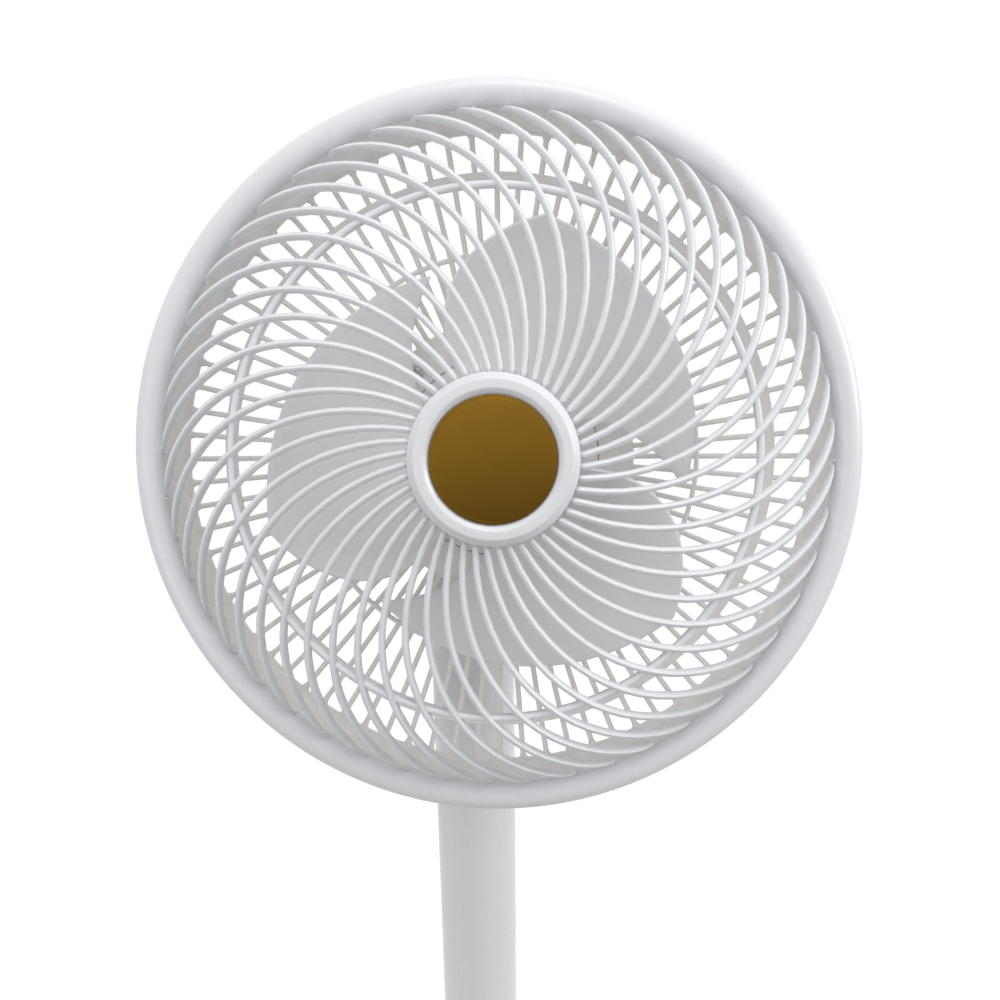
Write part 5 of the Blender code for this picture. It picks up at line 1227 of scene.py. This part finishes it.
def base_bolt():
    """The bolt that draws the pole down into the base, with a hexagon socket in its wide head."""
    corners = [
        (0, 0.7 * MM),
        (12 * MM, 0.7 * MM, 0.8 * MM),
        (12 * MM, 3.3 * MM, 0.3 * MM),
        (3 * MM, 3.3 * MM),
        (3 * MM, 26.7 * MM, 0.5 * MM),
        (0, 26.7 * MM),
    ]
    bolt = turned("base_bolt_fine", corners, 64, 4)
    carve(bolt, [rod("socket", 3.5 * MM, -2 * MM, 2.4 * MM, 6)])
    return fitted(bolt, STAND, 30)


def power_inlet():
    """The round power inlet in the back of the base, with its pin."""
    low = -12.0 * MM
    barrel = [
        (0, low),
        (4.2 * MM, low, 0.3 * MM),
        (4.2 * MM, -0.3 * MM, 0.35 * MM),
        (2.8 * MM, -0.3 * MM, 0.3 * MM),
        (2.8 * MM, low + 2.0 * MM, 0.2 * MM),
        (0.9 * MM, low + 2.0 * MM, 0.2 * MM),
        (0.9 * MM, -1.6 * MM, 0.5 * MM),
        (0, -1.6 * MM),
    ]
    return fitted(turned("dc_inlet_fine", barrel, 64, 4), STAND @ inlet_place(0))


def tilt_nut():
    """The hinge's hexagon nut, chamfered at both faces, round the bolt's end."""
    low, high = 19.3 * MM, 22.5 * MM
    nut = rod("tilt_nut_fine", 7.0 * MM, low, high, 6)
    corners = [
        (4.2 * MM, low - MM),
        (6.6 * MM, low - MM),
        (6.6 * MM, low + 0.2 * MM),
        (7.2 * MM, low + 0.7 * MM),
        (7.2 * MM, high - 0.7 * MM),
        (6.6 * MM, high - 0.2 * MM),
        (6.6 * MM, high + MM),
        (4.2 * MM, high + MM),
    ]
    carve(nut, [turned("chamfer", corners, 64)], "INTERSECT")
    return fitted(nut, HINGE @ ALONG_X, 30)


# --- The fan's pieces, each on its body -----------------------------


def fit_out():
    """Make every piece and let it stand for its nodes; then finish the nodes that stay."""
    pieces = [
        (front_guard(), "head", "front_guard"),
        (hub_disc(), "head", "badge_disc"),
        (rear_guard(), "head", "rear_guard"),
        (impeller(), "fan", "impeller"),
        (grip_nut(), "fan", "impeller_nut"),
        (motor_front_cover(), "head", "motor_front_cover"),
        (motor_rear_cover(), "head", "motor_rear_cover"),
        (tilt_bracket(), "head", "tilt_bracket"),
        (neck(), "neck", "neck_housing"),
        (tilt_bolt(), "neck", "tilt_bolt"),
        (tilt_nut(), "neck", "tilt_nut"),
        (pole_tube("pole_upper_tube_fine", POLE_SPLIT + 0.9 * MM, POLE_TOP), "stand", "pole_upper_tube"),
        (pole_tube("pole_lower_tube_fine", POLE_FOOT, POLE_SPLIT - 0.9 * MM), "stand", "pole_lower_tube"),
        (pole_coupler(), "stand", "pole_coupler"),
        (base_cover(), "stand", "base_cover"),
        (base_plate(), "stand", "base_plate"),
        (base_bolt(), "stand", "base_bolt"),
        (power_inlet(), "stand", "dc_inlet"),
    ]
    pieces += tilt_washers() + feet() + screws() + buttons()
    slots = {part["node"]: part["material_slot"] for part in frame["record"]["subparts"]}
    for piece, body, node in pieces:
        hand_over(piece, body, node, slots[node])
    replaced = {node for piece, body, node in pieces}
    for name, node in frame["nodes"].items():
        if name not in replaced:
            for socket in node.material_slots:
                socket.material = coats[slots[name]]


fit_out()

# --- Studio ---------------------------------------------------------


def seen_white(tree, shader, strength_lit, strength_seen):
    """Set a shader's strength: one for the light it gives, another where it is looked at or mirrored."""
    path = tree.nodes.new("ShaderNodeLightPath")
    seen = path.outputs["Is Camera Ray"]
    for other in ("Is Glossy Ray", "Is Transmission Ray"):
        either = tree.nodes.new("ShaderNodeMath")
        either.operation = "MAXIMUM"
        tree.links.new(seen, either.inputs[0])
        tree.links.new(path.outputs[other], either.inputs[1])
        seen = either.outputs["Value"]
    spread = tree.nodes.new("ShaderNodeMapRange")
    spread.inputs["To Min"].default_value = strength_lit
    spread.inputs["To Max"].default_value = strength_seen
    tree.links.new(seen, spread.inputs["Value"])
    tree.links.new(spread.outputs["Result"], shader.inputs["Strength"])


def surroundings():
    world = bpy.data.worlds.new("Studio")
    world.use_nodes = True
    tree = world.node_tree
    sky = tree.nodes["Background"]
    sky.inputs["Color"].default_value = (1, 1, 1, 1)
    seen_white(tree, sky, 0.76, 1.0)
    bpy.context.scene.world = world


def studio_floor():
    let_go()
    bpy.ops.mesh.primitive_plane_add(size=120)
    floor = newly_made("studio_floor")
    paper = bpy.data.materials.new("Backdrop paper")
    paper.use_nodes = True
    tree = paper.node_tree
    matte = tree.nodes["Principled BSDF"]
    matte.inputs["Base Color"].default_value = (0.28, 0.28, 0.28, 1)
    matte.inputs["Roughness"].default_value = 0.9
    matte.inputs["Specular IOR Level"].default_value = 0.1
    glow = tree.nodes.new("ShaderNodeEmission")
    seen_white(tree, glow, 0.0, 0.8)
    both = tree.nodes.new("ShaderNodeAddShader")
    tree.links.new(matte.outputs["BSDF"], both.inputs[0])
    tree.links.new(glow.outputs["Emission"], both.inputs[1])
    tree.links.new(both.outputs["Shader"], tree.nodes["Material Output"].inputs["Surface"])
    floor.data.materials.append(paper)


def soft_box(name, place, aim, size, power):
    """A large, soft, square lamp that looks at a point."""
    lamp = bpy.data.lights.new(name, "AREA")
    lamp.size = size
    lamp.energy = power
    holder = bpy.data.objects.new(name, lamp)
    bpy.context.scene.collection.objects.link(holder)
    holder.location = place
    holder.rotation_euler = (Vector(aim) - Vector(place)).to_track_quat("-Z", "Y").to_euler()


def camera():
    """A camera close in front of the head that looks down at it, with its frame shifted up."""
    pitch, roll, swing = radians(21.41), radians(0.68), -0.0261
    level = sqrt(1 - swing * swing)
    forward = Vector((swing * cos(pitch), level * cos(pitch), -sin(pitch)))
    right_level = Vector((level, -swing, 0))
    up_level = Vector((swing * sin(pitch), level * sin(pitch), cos(pitch)))
    right = cos(roll) * right_level - sin(roll) * up_level
    up = cos(roll) * up_level + sin(roll) * right_level
    aside, below, away = 1.5 * MM, 56.4 * MM, 488.0 * MM
    place = HEAD.translation + aside * right - below * up - away * forward
    lens = bpy.data.cameras.new("camera")
    lens.sensor_width = 36
    lens.lens = 38.25
    lens.shift_y = 0.081
    lens.clip_start = 0.02
    holder = bpy.data.objects.new("camera", lens)
    bpy.context.scene.collection.objects.link(holder)
    holder.matrix_world = Matrix.Translation(place) @ Matrix((right, up, -forward)).transposed().to_4x4()
    bpy.context.scene.camera = holder


surroundings()
studio_floor()
middle = HEAD.translation
soft_box("key_light", (2.2, -0.3, 1.5), middle, 0.9, 17)
soft_box("overhead_light", (0.2, -0.6, 2.6), middle, 1.0, 9.5)
soft_box("fill_light", (-1.2, -1.9, 0.9), middle, 1.2, 6.5)
camera()

bpy.context.scene.view_settings.view_transform = "Standard"
